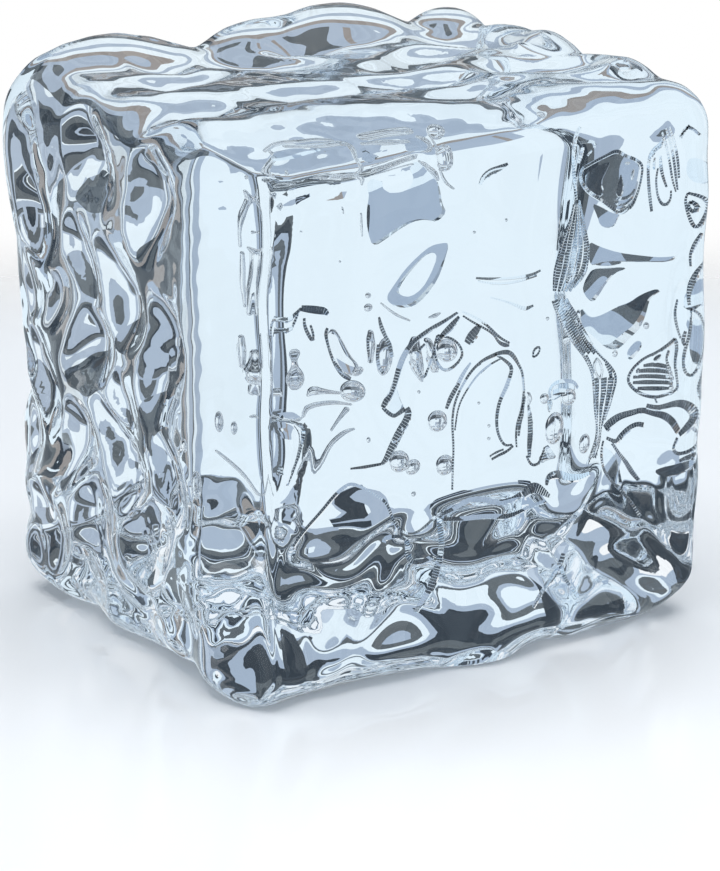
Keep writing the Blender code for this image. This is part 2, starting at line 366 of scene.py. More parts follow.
def grain(points):
    """Faint unevenness of the rough sides."""
    x, y, z = TURN * points.T
    top = np.clip((points[:, 2] - GRAIN_TOP_FROM) / GRAIN_TOP_MARGIN, 0.0, 1.0)
    rough = np.clip(np.clip(GRAIN_LEFT_FROM - points[:, 0], 0.0, 1.0) + top, 0.0, 1.0)
    (a, b), (c, d), (e, f), (g, h) = GRAIN_LENGTHS
    bend, other_bend = GRAIN_BENDS
    bent = np.sin(x / a + bend * np.sin(z / b)) * np.sin(z / c + other_bend * np.sin(y / d))
    straight = np.sin(y / e + z / f) * np.sin(x / g - z / h + GRAIN_SHIFT)
    return GRAIN_HEIGHT * rough * (bent + straight)


def fine_relief(points):
    """How far the grain and the rings raise each point, and the folds sink it."""
    out = grain(points)
    for face, along, up, reach in RINGS:
        first, second, across, side = FACES[face]
        away = np.hypot(points[:, first] - along, points[:, second] - up)
        near_skin = abs(points[:, across] - LEVELS[across] * side) < RING_SKIN
        fade = np.exp(-((away / reach) ** RING_FALL)) * near_skin
        out += RING_HEIGHT * fade * np.cos(TURN * away / RING_LENGTH)
    return out - folds(points)


# ---------------------------------------------------------------------------
# Nodes
# ---------------------------------------------------------------------------


def feed(tree, node, **inputs):
    """Sets a node's inputs by name, or links them where given a socket, with underscores for spaces."""
    for name, value in inputs.items():
        slot = node.inputs[name.replace("_", " ")]
        if isinstance(value, bpy.types.NodeSocket):
            tree.links.new(value, slot)
        else:
            slot.default_value = value
    return node


def maths(tree, operation, *values):
    """One Math node, fed by sockets or numbers."""
    node = tree.nodes.new("ShaderNodeMath")
    node.operation = operation
    for slot, value in zip(node.inputs, values):
        if isinstance(value, (int, float)):
            slot.default_value = value
        else:
            tree.links.new(value, slot)
    return node.outputs[0]


def mixed(tree, share, under, over):
    """One colour Mix node, fed by sockets or plain colours."""
    node = tree.nodes.new("ShaderNodeMix")
    node.data_type = "RGBA"
    for index, value in ((0, share), (6, under), (7, over)):
        if isinstance(value, tuple):
            node.inputs[index].default_value = (*value, 1.0)
        else:
            tree.links.new(value, node.inputs[index])
    return node.outputs[2]


# ---------------------------------------------------------------------------
# Air inside the ice
# ---------------------------------------------------------------------------

# Air channels: depth in the block, then place and radius at each point of the way
CHANNELS = (
    (-15, (-16.7, 46.5, 0.12), (-13.4, 46, 0.23), (-10.6, 45.9, 0.25), (-10, 44.7, 0.21),
     (-9.9, 43.3, 0.1)),
    (-13, (-17.6, 44.9, 0.12), (-16.2, 45.8, 0.19), (-13.6, 45.7, 0.16), (-10.9, 45.2, 0.12)),
    (-14, (-8.6, 44.8, 0.15), (-6.3, 44.6, 0.25), (-3.9, 44.2, 0.14)),
    (-14, (-2.9, 44.5, 0.16), (-2.2, 44.1, 0.29), (-1.8, 43.4, 0.14)),
    (-12, (-8.9, 41, 0.08), (-8.9, 40, 0.13), (-8.8, 39, 0.08)),
    (-12, (-17.4, 38.5, 0.16), (-17.5, 36.2, 0.23), (-17.3, 33.9, 0.12)),
    (-11, (-16.1, 43.5, 0.15), (-15.6, 42.8, 0.25), (-16.1, 42.2, 0.21), (-16.6, 41.5, 0.25),
     (-16.9, 40.2, 0.12), (-16.9, 38.9, 0.12)),
    (-13, (-17.4, 39.1, 0.12), (-16.5, 38.6, 0.33), (-16.9, 36.6, 0.31), (-17.4, 34.9, 0.25),
     (-17.6, 33.4, 0.14)),
    (-12, (-17.7, 31.3, 0.21), (-17.7, 30.1, 0.33), (-17.6, 28.7, 0.23)),
    (-11, (-15.2, 29.4, 0.37), (-15.4, 28.6, 0.31), (-15.5, 27.7, 0.77), (-15, 26.8, 0.62),
     (-15.7, 26, 0.23)),
    (-12, (-14.4, 25.6, 0.1), (-13.9, 26, 0.43), (-12.8, 25.7, 0.21), (-11.2, 25.3, 0.12)),
    (-12, (-16.5, 24.1, 0.1), (-15, 24.5, 0.18), (-13.6, 24.7, 0.21), (-11.8, 24.6, 0.18),
     (-10, 24.1, 0.1)),
    (-11, (-10, 23.5, 0.23), (-10.7, 22.9, 0.14), (-11.6, 21.9, 0.09)),
    (-12, (-9.7, 21.9, 0.1), (-10.7, 21.8, 0.18), (-12.2, 20.9, 0.18), (-13, 19.4, 0.18),
     (-13.9, 18.3, 0.1)),
    (-10, (-7, 29.7, 0.25), (-7.1, 28.6, 0.47), (-7.1, 27.2, 0.27)),
    (-10, (-2.2, 28.4, 0.35), (-2.4, 27.1, 0.68), (-2, 25.8, 0.52), (-1.6, 24.7, 0.16)),
    (-8, (0.1, 27.7, 0.33), (0.3, 26.4, 0.56), (0.7, 25.1, 0.37)),
    (-13, (8.3, 22.6, 0.14), (8.4, 22.1, 0.27), (8.3, 21.6, 0.14)),
    (-14, (-1.6, 44.2, 0.1), (-1.1, 43.1, 0.14), (-0.2, 42.4, 0.1)),
    (-12, (-6.7, 32.6, 0.09), (-5.2, 31.4, 0.15), (-3.7, 30.7, 0.09)),
    (-12, (-1.6, 30.7, 0.08), (-1, 30.8, 0.19), (-0.5, 31, 0.08)),
    (-17, (-24.5, 22.8, 0.12), (-23.1, 21.8, 0.16), (-21.4, 20.5, 0.16), (-19.7, 18.5, 0.12)),
    (-14, (-8.6, 45.7, 0.27), (-6.3, 45.7, 0.37), (-3.8, 45.6, 0.33)),
    (-18.6, (13.2, 25.9, 0.1), (12.8, 25.3, 0.12), (13.1, 24.5, 0.12), (13.6, 23.9, 0.1),
     (13.8, 24.7, 0.12), (13.5, 25.6, 0.12), (13.2, 25.9, 0.1)),
)

# Dark lines of small prisms: depth, slope in degrees, then place and half width at each point of the way
RIBBONS = (
    (-17.2, 46.8, (-1.2, 32, 0.1), (-2.5, 31.4, 0.15), (-3.9, 30.9, 0.19), (-5.4, 30.2, 0.19),
     (-6.3, 29.5, 0.23), (-6.9, 28.7, 0.27), (-7.3, 27.8, 0.27)),
    (-17.2, 45.5, (-7.3, 27.8, 0.27), (-7.6, 26.9, 0.25), (-8.1, 25.7, 0.23), (-8.7, 25.1, 0.29),
     (-9, 24.6, 0.21)),
    (-17.2, 45.5, (-9, 24.6, 0.14), (-8.4, 24, 0.19), (-7.8, 23.6, 0.16), (-7.2, 23.9, 0.21),
     (-6.7, 24.1, 0.25)),
    (-17.2, 45.5, (-6.5, 24.2, 0.23), (-6.3, 23.7, 0.35), (-6.6, 23, 0.37), (-7.2, 22.3, 0.37),
     (-7.7, 21.5, 0.39), (-8.2, 20.7, 0.35), (-8.7, 19.9, 0.25), (-9.1, 19.6, 0.14)),
    (-17.2, 45.5, (-9.1, 19.6, 0.12), (-10.6, 19.6, 0.15), (-12.3, 19.7, 0.08)),
    (-17.2, 46.8, (1, 30.5, 0.27), (0.5, 30, 0.43), (0, 29.5, 0.45), (-0.3, 29.1, 0.31)),
    (-17.2, 46.8, (-1.1, 31.6, 0.12), (-1.6, 31.1, 0.27), (-2.2, 30.6, 0.29), (-2.8, 30.2, 0.21),
     (-3.4, 29.5, 0.16)),
    (-17.2, 46.8, (-3.3, 30.2, 0.1), (-1.6, 29.7, 0.11), (-0.6, 28.4, 0.12), (-1.2, 27.4, 0.12),
     (-2.6, 26.8, 0.14), (-3.4, 27.8, 0.11), (-3.7, 29.2, 0.11), (-3.3, 30.2, 0.1)),
    (-17.2, 46.8, (-4.6, 29.6, 0.1), (-5.3, 29.1, 0.13), (-5.4, 27.7, 0.12), (-4.8, 26.4, 0.14),
     (-4.2, 27.5, 0.11), (-3.7, 28.7, 0.1)),
    (-17.2, 46.8, (-0.8, 32, 0.09), (0, 31.6, 0.11), (1.2, 30.9, 0.12), (2.2, 30, 0.11), (3.1, 29.1, 0.12),
     (4.1, 28.5, 0.1)),
    (-17.2, 46.8, (-0.7, 31.6, 0.08), (0.3, 30.9, 0.1), (1.5, 30.2, 0.1), (2.5, 29.5, 0.11),
     (2.9, 28.8, 0.12), (3.5, 28.4, 0.21), (4.1, 28.3, 0.12)),
    (-17.2, 45.5, (-1.7, 16, 0.08), (-1.7, 17.8, 0.1), (-1.6, 19.6, 0.11), (-1.7, 20.9, 0.12),
     (-1.8, 22.3, 0.12), (-1.6, 23.8, 0.12), (-1, 25, 0.13)),
    (-17.2, 46.8, (-1, 25, 0.13), (0, 26.4, 0.14), (1.2, 27.3, 0.14), (2.2, 27.6, 0.16), (3.2, 27.8, 0.18),
     (4.1, 27.7, 0.22), (4.7, 27.1, 0.2), (5.2, 26.3, 0.13), (5.6, 25.6, 0.12), (5.8, 23.9, 0.12)),
    (-17.2, 45.5, (5.8, 23.9, 0.12), (5.6, 22.2, 0.13), (5.1, 21, 0.13), (5, 19.8, 0.12),
     (5.1, 18.8, 0.08)),
    (-17.2, 45.5, (-1.5, 21.4, 0.08), (-1.2, 23.5, 0.09), (-0.3, 24.9, 0.09), (0.9, 26.2, 0.1),
     (2.2, 26.9, 0.1), (3.2, 27.2, 0.08)),
    (-17.2, 46.8, (2.6, 27.7, 0.09), (3.7, 27, 0.14), (4.5, 26.2, 0.19), (4.2, 25.3, 0.21)),
    (-17.2, 45.5, (4.2, 25.3, 0.21), (3.8, 24.4, 0.21), (3.2, 23.4, 0.2), (2.9, 22.2, 0.18),
     (2.9, 21, 0.15), (3.2, 20, 0.13), (3.8, 19.1, 0.12), (4.6, 19.1, 0.09)),
    (-17.2, 45.5, (2.4, 18.1, 0.1), (3.3, 18.4, 0.12), (4.2, 18.6, 0.14), (4.7, 19, 0.14)),
    (-17.2, 45.5, (2.2, 18.4, 0.08), (2.9, 18.7, 0.1), (3.7, 18.8, 0.1)),
    (-17.2, 45.5, (0.1, 27.3, 0.1), (-0.7, 26.4, 0.21), (-1.4, 25.2, 0.23), (-2, 24.4, 0.25),
     (-2.4, 23.5, 0.16)),
    (-17.2, 45.5, (6.3, 22.5, 0.1), (6.5, 21.5, 0.23), (6.6, 20.1, 0.29), (6.5, 18.7, 0.27),
     (6.5, 17.6, 0.14)),
    (-17.2, 45.5, (5.9, 23.4, 0.1), (5.7, 22.1, 0.16), (5.4, 20.9, 0.19), (5.3, 19.8, 0.1)),
    (-17.2, 45.5, (6.2, 17.8, 0.1), (6.7, 16.8, 0.13), (7.5, 16.8, 0.13), (7.8, 17.3, 0.12),
     (8.2, 18.3, 0.1)),
    (-17.2, 45.5, (8.4, 18.4, 0.16), (8.5, 18, 0.41), (8.5, 17.5, 0.67), (8.5, 17.1, 0.82)),
    (-17.2, 45.5, (8.7, 22.8, 0.12), (8.6, 23.6, 0.16), (9.2, 24.1, 0.16), (10.4, 24.1, 0.19),
     (11.4, 23.8, 0.16), (11.8, 23.2, 0.14)),
    (-17.2, 45.5, (9, 23.2, 0.25), (9.8, 23.2, 0.29), (10.4, 23.1, 0.23)),
    (-17.2, 45.5, (8.6, 22.6, 0.21), (8.7, 22.1, 0.27), (8.6, 21.6, 0.12)),
    (-17.2, 46.8, (6.7, 26.8, 0.09), (6.7, 27.4, 0.12), (7.2, 27.7, 0.12), (7.5, 27.5, 0.1),
     (7.2, 26.9, 0.11), (6.7, 26.8, 0.09)),
    (-17.2, 46.8, (-17.2, 34.5, 0.25), (-16.4, 34.3, 0.33), (-15.6, 34.1, 0.35), (-14.8, 33.9, 0.31),
     (-14.6, 33.6, 0.16)),
    (-17.2, 46.8, (-17.2, 34.5, 0.12), (-18, 33.9, 0.15), (-18.6, 33.1, 0.14), (-18.9, 32, 0.1)),
    (-17.2, 46.8, (-17.5, 34.1, 0.08), (-17.9, 33.2, 0.1), (-18.3, 32.3, 0.08)),
    (-17.2, 46.8, (-16.9, 33.6, 0.13), (-16.9, 32.9, 0.15), (-16.4, 31.9, 0.18), (-16, 31.4, 0.13),
     (-16, 32, 0.11), (-16.3, 32.9, 0.1)),
    (-17.2, 46.8, (-14.6, 32.4, 0.12), (-14.8, 32, 0.19), (-14.6, 31, 0.12), (-14.2, 29.8, 0.12),
     (-13.7, 28.9, 0.19), (-13, 28, 0.23), (-12.3, 27.6, 0.19)),
    (-17.2, 46.8, (-10.2, 31.4, 0.12), (-10.5, 30.6, 0.16), (-10.4, 29.6, 0.14), (-10.2, 28.7, 0.12)),
    (-17.2, 46.8, (-9.3, 32.6, 0.1), (-9.1, 31.7, 0.21), (-8.6, 30.7, 0.16), (-8.2, 30, 0.21),
     (-8, 28.9, 0.16)),
    (-17.2, 46.8, (-9.4, 30.2, 0.14), (-9.5, 29.3, 0.19), (-9.4, 28.2, 0.19), (-8.9, 27.6, 0.14)),
    (-17.2, 45.5, (-19.9, 24.3, 0.14), (-18.9, 24.8, 0.19), (-18, 24.9, 0.23), (-17.1, 24.8, 0.27),
     (-16.3, 24.2, 0.33), (-16.4, 23.2, 0.37), (-16.9, 22.1, 0.35), (-17.4, 21.1, 0.31), (-18, 20.1, 0.25),
     (-18.3, 19.3, 0.16)),
    (-17.2, 45.5, (-17.8, 24.3, 0.1), (-17.2, 23.7, 0.12), (-17.3, 22.5, 0.12), (-17.8, 21.3, 0.12),
     (-18.3, 20.4, 0.1)),
    (-17.2, 46.8, (2, 32.9, 0.07), (3.7, 32.3, 0.08), (4.9, 31.7, 0.14), (5.7, 31.3, 0.19),
     (6.6, 31.5, 0.1)),
    (-17.2, 46.5, (0.6, 34.8, 0.09), (2.3, 34.5, 0.12), (4.4, 34.3, 0.12), (6.3, 34.3, 0.14),
     (7.3, 34.6, 0.1)),
    (-17.2, 46.5, (0.8, 34.5, 0.08), (2.6, 34, 0.1), (4.7, 33.9, 0.1), (6.9, 34.2, 0.09)),
    (-17.2, 44.5, (0.9, 43, 0.14), (1.2, 43.6, 0.25), (1.9, 44, 0.31), (2.9, 44.2, 0.27),
     (3.7, 44.5, 0.12)),
    (-18.4, 45, (10.4, 40.4, 0.05), (10.2, 39.5, 0.05), (9.9, 38.5, 0.12), (9.6, 37.6, 0.18),
     (9.3, 36.6, 0.24), (9, 35.7, 0.27), (8.8, 34.8, 0.28), (8.6, 33.9, 0.24), (8.5, 33.2, 0.18),
     (8.4, 32.7, 0.13)),
    (-18.4, 44, (10.5, 40.4, 0.05), (10.5, 39.4, 0.05), (10.3, 38.5, 0.12), (10.1, 37.5, 0.18),
     (9.9, 36.5, 0.24), (9.7, 35.6, 0.27), (9.5, 34.7, 0.28), (9.2, 33.8, 0.24), (9, 33.1, 0.18),
     (8.8, 32.6, 0.13)),
    (-18.4, 47, (10.6, 40.4, 0.05), (10.7, 39.4, 0.05), (10.7, 38.4, 0.12), (10.6, 37.4, 0.18),
     (10.6, 36.5, 0.24), (10.4, 35.5, 0.27), (10.2, 34.6, 0.28), (9.9, 33.8, 0.24), (9.5, 33.1, 0.18),
     (9.2, 32.6, 0.13)),
    (-18.4, 44.5, (10.8, 40.4, 0.05), (10.9, 39.4, 0.05), (11, 38.4, 0.12), (11.1, 37.4, 0.18),
     (11.2, 36.4, 0.24), (11.1, 35.4, 0.27), (10.9, 34.5, 0.28), (10.5, 33.7, 0.24), (10, 33, 0.18),
     (9.6, 32.5, 0.13)),
    (-18.4, 46, (10.9, 40.4, 0.05), (11.1, 39.4, 0.05), (11.4, 38.3, 0.12), (11.6, 37.3, 0.18),
     (11.8, 36.3, 0.24), (11.8, 35.3, 0.27), (11.6, 34.4, 0.28), (11.1, 33.6, 0.24), (10.5, 33, 0.18),
     (10, 32.5, 0.13)),
    (-18.4, 49, (8.5, 31.9, 0.21), (8.8, 31.1, 0.25), (9.3, 30.2, 0.27), (9.8, 29.3, 0.27),
     (10.4, 28.4, 0.27), (11, 27.5, 0.25), (11.9, 26.5, 0.24)),
    (-18.4, 48, (9, 31.9, 0.21), (9.4, 31, 0.25), (10, 30.1, 0.27), (10.5, 29.2, 0.27), (11, 28.3, 0.27),
     (11.7, 27.4, 0.25), (12.5, 26.5, 0.24)),
    (-18.4, 50, (9.6, 31.8, 0.21), (10.1, 30.9, 0.25), (10.6, 30, 0.27), (11.2, 29.1, 0.27),
     (11.7, 28.2, 0.27), (12.3, 27.3, 0.25), (13.1, 26.4, 0.24)),
    (-18.4, 54, (13.2, 24.1, 0.34), (13.3, 23.2, 0.3), (13.3, 22.3, 0.24), (13.4, 21.3, 0.18),
     (13.4, 20.4, 0.11), (13.5, 19.4, 0.05), (13.5, 18.5, 0.05), (13.2, 17.6, 0.05), (12.7, 16.9, 0.05)),
    (-18.4, 53, (14.1, 24, 0.34), (14.1, 23.1, 0.3), (14, 22.2, 0.24), (13.8, 21.2, 0.18),
     (13.8, 20.3, 0.11), (13.7, 19.4, 0.05), (13.7, 18.5, 0.05), (13.3, 17.6, 0.05), (12.9, 16.9, 0.05)),
    (-18.4, 55, (14.9, 23.9, 0.34), (14.8, 23, 0.3), (14.6, 22.1, 0.24), (14.4, 21.2, 0.18),
     (14.1, 20.3, 0.11), (13.9, 19.4, 0.05), (13.8, 18.4, 0.05), (13.5, 17.5, 0.05), (13.1, 16.9, 0.05)),
    (-18.4, 49, (12, 26.3, 0.21), (12.5, 25.4, 0.23), (12.9, 24.5, 0.16)),
    (-18.4, 49, (14.3, 25.3, 0.16), (14.8, 24.5, 0.21), (14.9, 23.8, 0.16)),
    (-16.8, 40, (11, 36.6, 0.15), (11.2, 35.7, 0.46), (11.1, 34.8, 0.57), (10.8, 33.9, 0.46),
     (10.5, 33.2, 0.15)),
    (-19.5, 47, (10.4, 47, 0.12), (9.8, 46.4, 0.18), (9.6, 45.5, 0.18), (9.6, 44, 0.18), (9.8, 42.5, 0.18),
     (10, 40.9, 0.12)),
    (-20, 45, (9.5, 40.6, 0.08), (9.4, 39.9, 0.11), (9, 38.8, 0.11), (8.4, 37.5, 0.11), (7.9, 36, 0.11),
     (7.5, 34.7, 0.11), (7.5, 33.1, 0.08)),
    (-20, 45, (10.1, 40.9, 0.09), (10.6, 39.1, 0.12), (10.9, 38, 0.12), (11.3, 36.6, 0.12),
     (11.3, 35.6, 0.12), (11.1, 34.5, 0.12), (10.6, 33.8, 0.12), (9.7, 33.1, 0.09)),
    (-20, 49, (9, 32, 0.09), (9.9, 30.8, 0.13), (10.5, 29.7, 0.13), (11, 28.9, 0.13), (12, 27.3, 0.13),
     (13.2, 26.1, 0.13), (14.4, 24.8, 0.13), (14.6, 23.9, 0.13), (14.3, 23, 0.13), (13.9, 21.7, 0.13),
     (13.4, 20.5, 0.09)),
    (-20, 49, (7.4, 32.2, 0.09), (7.8, 31.3, 0.12), (8.4, 30.1, 0.12), (9.2, 28.9, 0.12), (10, 27.8, 0.12),
     (11, 26.7, 0.12), (11.6, 25.7, 0.12), (12, 24.8, 0.12), (12.2, 23.1, 0.12), (12.3, 21.6, 0.12),
     (12.7, 19.4, 0.12), (12, 17.6, 0.12), (11.5, 16.7, 0.09)),
    (-20, 45, (10.4, 43.7, 0.14), (11.5, 44.1, 0.14), (12.9, 44.5, 0.12), (14.2, 44.9, 0.18),
     (15, 44.3, 0.15), (16.4, 43.8, 0.15), (17.1, 43.2, 0.14), (17, 42.1, 0.12), (16.6, 40.7, 0.14),
     (16.1, 39.9, 0.19), (15.1, 39.2, 0.21), (14.4, 39.3, 0.23), (13.7, 39.8, 0.19), (12.4, 40.7, 0.19),
     (11.1, 41.5, 0.21), (10.3, 42.4, 0.19), (10.1, 43.2, 0.16), (10.4, 43.7, 0.14)),
    (-20.3, 45, (13.8, 40.6, 0.1), (14.6, 40.5, 0.14), (15.6, 40.6, 0.14), (16.1, 41.2, 0.1)),
    (-20.3, 45, (13.7, 40.5, 0.09), (14.2, 40, 0.1), (15, 39.9, 0.12), (15.8, 40.4, 0.1)),
    (-19.5, 47, (19.5, 45.4, 0.16), (19.2, 44.7, 0.25), (18.5, 44.4, 0.25), (18, 43.6, 0.19),
     (18, 42.2, 0.16), (18.2, 40.4, 0.2), (18.5, 38.8, 0.16)),
    (-19.5, 47, (18.7, 43.7, 0.1), (18.6, 43, 0.18), (18.7, 42.6, 0.1)),
    (-19.5, 47, (19.3, 43.8, 0.12), (19.4, 42.8, 0.21), (19.7, 41.8, 0.16), (20.1, 40.9, 0.12)),
    (-19.5, 45, (19.1, 42.7, 0.1), (18.9, 41.6, 0.13), (19.1, 40.2, 0.12), (19.5, 39.4, 0.15),
     (20.1, 39.2, 0.15), (20.6, 39.7, 0.12), (20.6, 40.5, 0.1)),
    (-19.5, 47, (19.7, 46.2, 0.1), (20.3, 44.9, 0.14), (20.8, 43.2, 0.14), (21.1, 41.6, 0.14),
     (21.3, 40.5, 0.1)),
    (-19.5, 47, (10.3, 45.9, 0.1), (11.4, 45.9, 0.12), (12, 45.7, 0.13), (11.8, 45.3, 0.1)),
    (-19.5, 47, (10.6, 45.5, 0.16), (10.4, 44.8, 0.19), (10.2, 44.1, 0.12)),
    (-19.5, 47, (11.1, 44.7, 0.08), (11.6, 45.1, 0.08)),
    (-19.5, 49, (22.9, 29.3, 0.1), (23.8, 28.5, 0.12), (24.2, 27.2, 0.13), (24.3, 25.5, 0.14),
     (23.8, 24, 0.14), (23, 22.9, 0.13), (22.3, 23.7, 0.14), (22.2, 25.1, 0.15), (22.7, 26.6, 0.12),
     (22.9, 28.1, 0.1), (22.9, 29.3, 0.09)),
    (-19.5, 45, (22.4, 40.1, 0.12), (23.4, 39.7, 0.15), (24, 39, 0.15), (23.8, 37.8, 0.14),
     (23.1, 36.6, 0.16), (22.4, 38.3, 0.16), (22.1, 39.5, 0.14), (22.4, 40.1, 0.12)),
    (-19.5, 45, (22.7, 39.3, 0.16), (23.3, 38.8, 0.2), (22.9, 38.2, 0.18), (22.4, 38.9, 0.15),
     (22.7, 39.3, 0.14)),
    (-19.5, 47, (23.2, 45.2, 0.1), (22.4, 46, 0.14), (21.7, 45.8, 0.15), (21.4, 45.1, 0.1)),
    (-19.5, 47, (22.3, 46.1, 0.1), (21.8, 45.6, 0.12), (21.2, 45.3, 0.1)),
    (-20, 49, (21, 26.9, 0.15), (20.2, 26.4, 0.16), (19, 25.9, 0.13), (17.3, 25.5, 0.13), (16, 24.5, 0.13),
     (15.8, 23.6, 0.15), (16.8, 22.6, 0.16), (17.9, 22, 0.16), (19, 21.7, 0.16), (20.2, 21.8, 0.16),
     (21.5, 22.1, 0.13), (21.3, 23.4, 0.15), (21, 24.6, 0.14), (21.3, 26.1, 0.21), (21, 26.9, 0.16)),
    (-19.5, 49, (20.6, 25.8, 0.12), (20.3, 25.1, 0.14), (20.6, 24.2, 0.13), (21, 23.2, 0.14),
     (20.8, 22.6, 0.12)),
    (-19.5, 49, (22.4, 27.3, 0.13), (22.1, 26.5, 0.23), (22.4, 26, 0.14)),
    (-19.5, 52, (13.7, 19.6, 0.33), (14.4, 20.1, 0.41), (15.4, 20.5, 0.33), (16.8, 20.6, 0.27),
     (17.8, 20.7, 0.25), (18.9, 20.2, 0.27), (20.1, 19.8, 0.33), (21.1, 19.1, 0.37), (21.8, 18.1, 0.31)),
    (-19.5, 52, (13.9, 18.7, 0.14), (15, 18.2, 0.19), (15.3, 18.6, 0.21), (16.2, 19.2, 0.23),
     (17.2, 19.5, 0.23), (18, 19.3, 0.19)),
    (-19.5, 52, (18.2, 21, 0.19), (19.3, 20.6, 0.21), (20.3, 20.6, 0.25), (21.5, 20.7, 0.31),
     (22.5, 20.5, 0.41), (23.3, 19.7, 0.43), (23.4, 18.9, 0.37), (22.7, 18.2, 0.31), (22, 17.7, 0.23)),
    (-19.5, 52, (21.8, 17.5, 0.14), (21.4, 16.6, 0.15), (21.9, 16, 0.16), (22.8, 15.9, 0.16),
     (23.8, 16.2, 0.23), (24.3, 16.8, 0.16)),
    (-19.5, 52, (23.2, 18.1, 0.12), (23.8, 17.5, 0.16), (23.9, 16.7, 0.12)),
    (-19.5, 52, (22.3, 15.2, 0.14), (23, 15.4, 0.25), (23.8, 15.4, 0.16)),
    (-19.5, 52, (14.5, 18.2, 0.14), (15.4, 17.2, 0.16), (16.3, 16.3, 0.21), (17.1, 15.1, 0.27),
     (17.9, 14, 0.16)),
    (-20, 52, (13.3, 18.6, 0.1), (13, 17.5, 0.12), (13.3, 16.2, 0.12), (14.4, 14.7, 0.13),
     (15.8, 13.3, 0.15), (16.9, 12.1, 0.16), (17.8, 10.6, 0.15)),
    (-19.5, 52, (19.3, 21.1, 0.1), (19, 21.7, 0.1)),
    (-18.9, 49, (18.1, 24.6, 0.12), (19.1, 24.6, 0.21), (20.4, 24.3, 0.21), (21.1, 24, 0.12)),
    (-18.9, 48, (17.3, 24.2, 0.14), (18.7, 24.1, 0.23), (20.1, 23.9, 0.23), (21.3, 23.5, 0.14)),
    (-18.9, 49.5, (17, 23.7, 0.14), (18.7, 23.6, 0.23), (20.3, 23.3, 0.23), (21.5, 23, 0.14)),
    (-18.9, 48, (17, 23.2, 0.14), (18.7, 23, 0.23), (20.3, 22.8, 0.23), (21.4, 22.5, 0.14)),
    (-18.9, 49.5, (17.5, 22.6, 0.14), (18.7, 22.4, 0.21), (20.1, 22.2, 0.21), (21, 22.1, 0.12)),
    (-19.2, 47, (20.3, 46.1, 0.1), (20.9, 44.8, 0.14), (21.4, 43.1, 0.14), (21.6, 41.5, 0.12)),
    (-19.2, 47, (19.5, 45.8, 0.1), (20, 44.6, 0.13), (20.5, 43.2, 0.13), (20.9, 41.4, 0.12),
     (21.3, 40.3, 0.08)),
    (-19.3, 50, (21.6, 30.3, 0.1), (21.3, 29.2, 0.16), (21.5, 28, 0.16), (22, 26.7, 0.1)),
    (-19.3, 50, (24.1, 33.5, 0.12), (23.4, 32.7, 0.23), (22.9, 31.6, 0.25), (22.7, 30.5, 0.16),
     (22.8, 29.6, 0.1)),
    (-19.3, 47, (23.6, 36.3, 0.1), (23.1, 35.4, 0.14), (22.8, 34.3, 0.12), (22.9, 33.3, 0.09)),
    (-19.3, 50, (24.4, 23.7, 0.16), (24.1, 22.6, 0.25), (23.8, 21.6, 0.27), (24.2, 20.5, 0.16)),
    (-19.4, 50, (-19, 14.3, 0.1), (-17.8, 15.6, 0.14), (-16.3, 16.8, 0.15), (-14.8, 18.2, 0.16),
     (-13.8, 18.8, 0.14), (-13.1, 18.9, 0.15), (-11.9, 18.3, 0.13), (-10.6, 17.4, 0.14), (-9.5, 16.6, 0.14),
     (-8.9, 15.1, 0.12), (-8.2, 13.9, 0.12), (-7.3, 13.4, 0.1), (-6.4, 13.3, 0.12), (-5.2, 13.9, 0.14),
     (-4.4, 14.5, 0.14), (-3.7, 14.8, 0.14)),
    (-19, 50, (-9.6, 12.9, 0.16), (-9.4, 13.3, 0.21), (-8.4, 13.3, 0.14), (-7.4, 13, 0.19),
     (-7.1, 12.2, 0.31), (-7.1, 11.2, 0.33), (-6.6, 10.4, 0.23), (-5.6, 10.2, 0.21), (-4.3, 10.6, 0.23)),
    (-19.2, 50, (-3.9, 14.7, 0.27), (-3.7, 13.3, 0.27), (-3.4, 11.8, 0.29), (-3.7, 10.1, 0.35),
     (-4.3, 8.5, 0.39), (-5.1, 7, 0.33), (-6.2, 5.7, 0.21)),
    (-19.4, 50, (-3.8, 14.5, 0.16), (-2.5, 14.8, 0.19), (-1.4, 15.3, 0.23), (-0.3, 15.3, 0.25),
     (0.9, 15, 0.25), (2, 14.5, 0.25), (3.5, 14.5, 0.23), (4.6, 14.9, 0.25)),
    (-18.8, 50, (5.1, 14.6, 0.31), (5.8, 15.1, 0.47), (6.5, 15.1, 0.49), (7.4, 14.5, 0.31),
     (8, 14.1, 0.14)),
    (-18.8, 50, (7.7, 15.1, 0.14), (7.8, 15.9, 0.31), (9, 16, 0.35), (9.9, 15.5, 0.33), (11.2, 15.4, 0.23),
     (12.3, 15.7, 0.16)),
    (-19.2, 50, (-3.4, 14, 0.16), (-1.8, 13.7, 0.19), (0.7, 13.5, 0.21), (3, 13.1, 0.21), (4.2, 13.2, 0.16),
     (5.9, 13.6, 0.14), (7.4, 13.8, 0.14)),
    (-19.2, 50, (6.1, 3.7, 0.16), (7.6, 5.2, 0.23), (9, 6.8, 0.27), (9.6, 8.2, 0.23)),
    (-19.2, 50, (11.2, 3.8, 0.16), (10.5, 4.9, 0.14), (9.8, 6.1, 0.19), (9.4, 7.2, 0.19)),
)

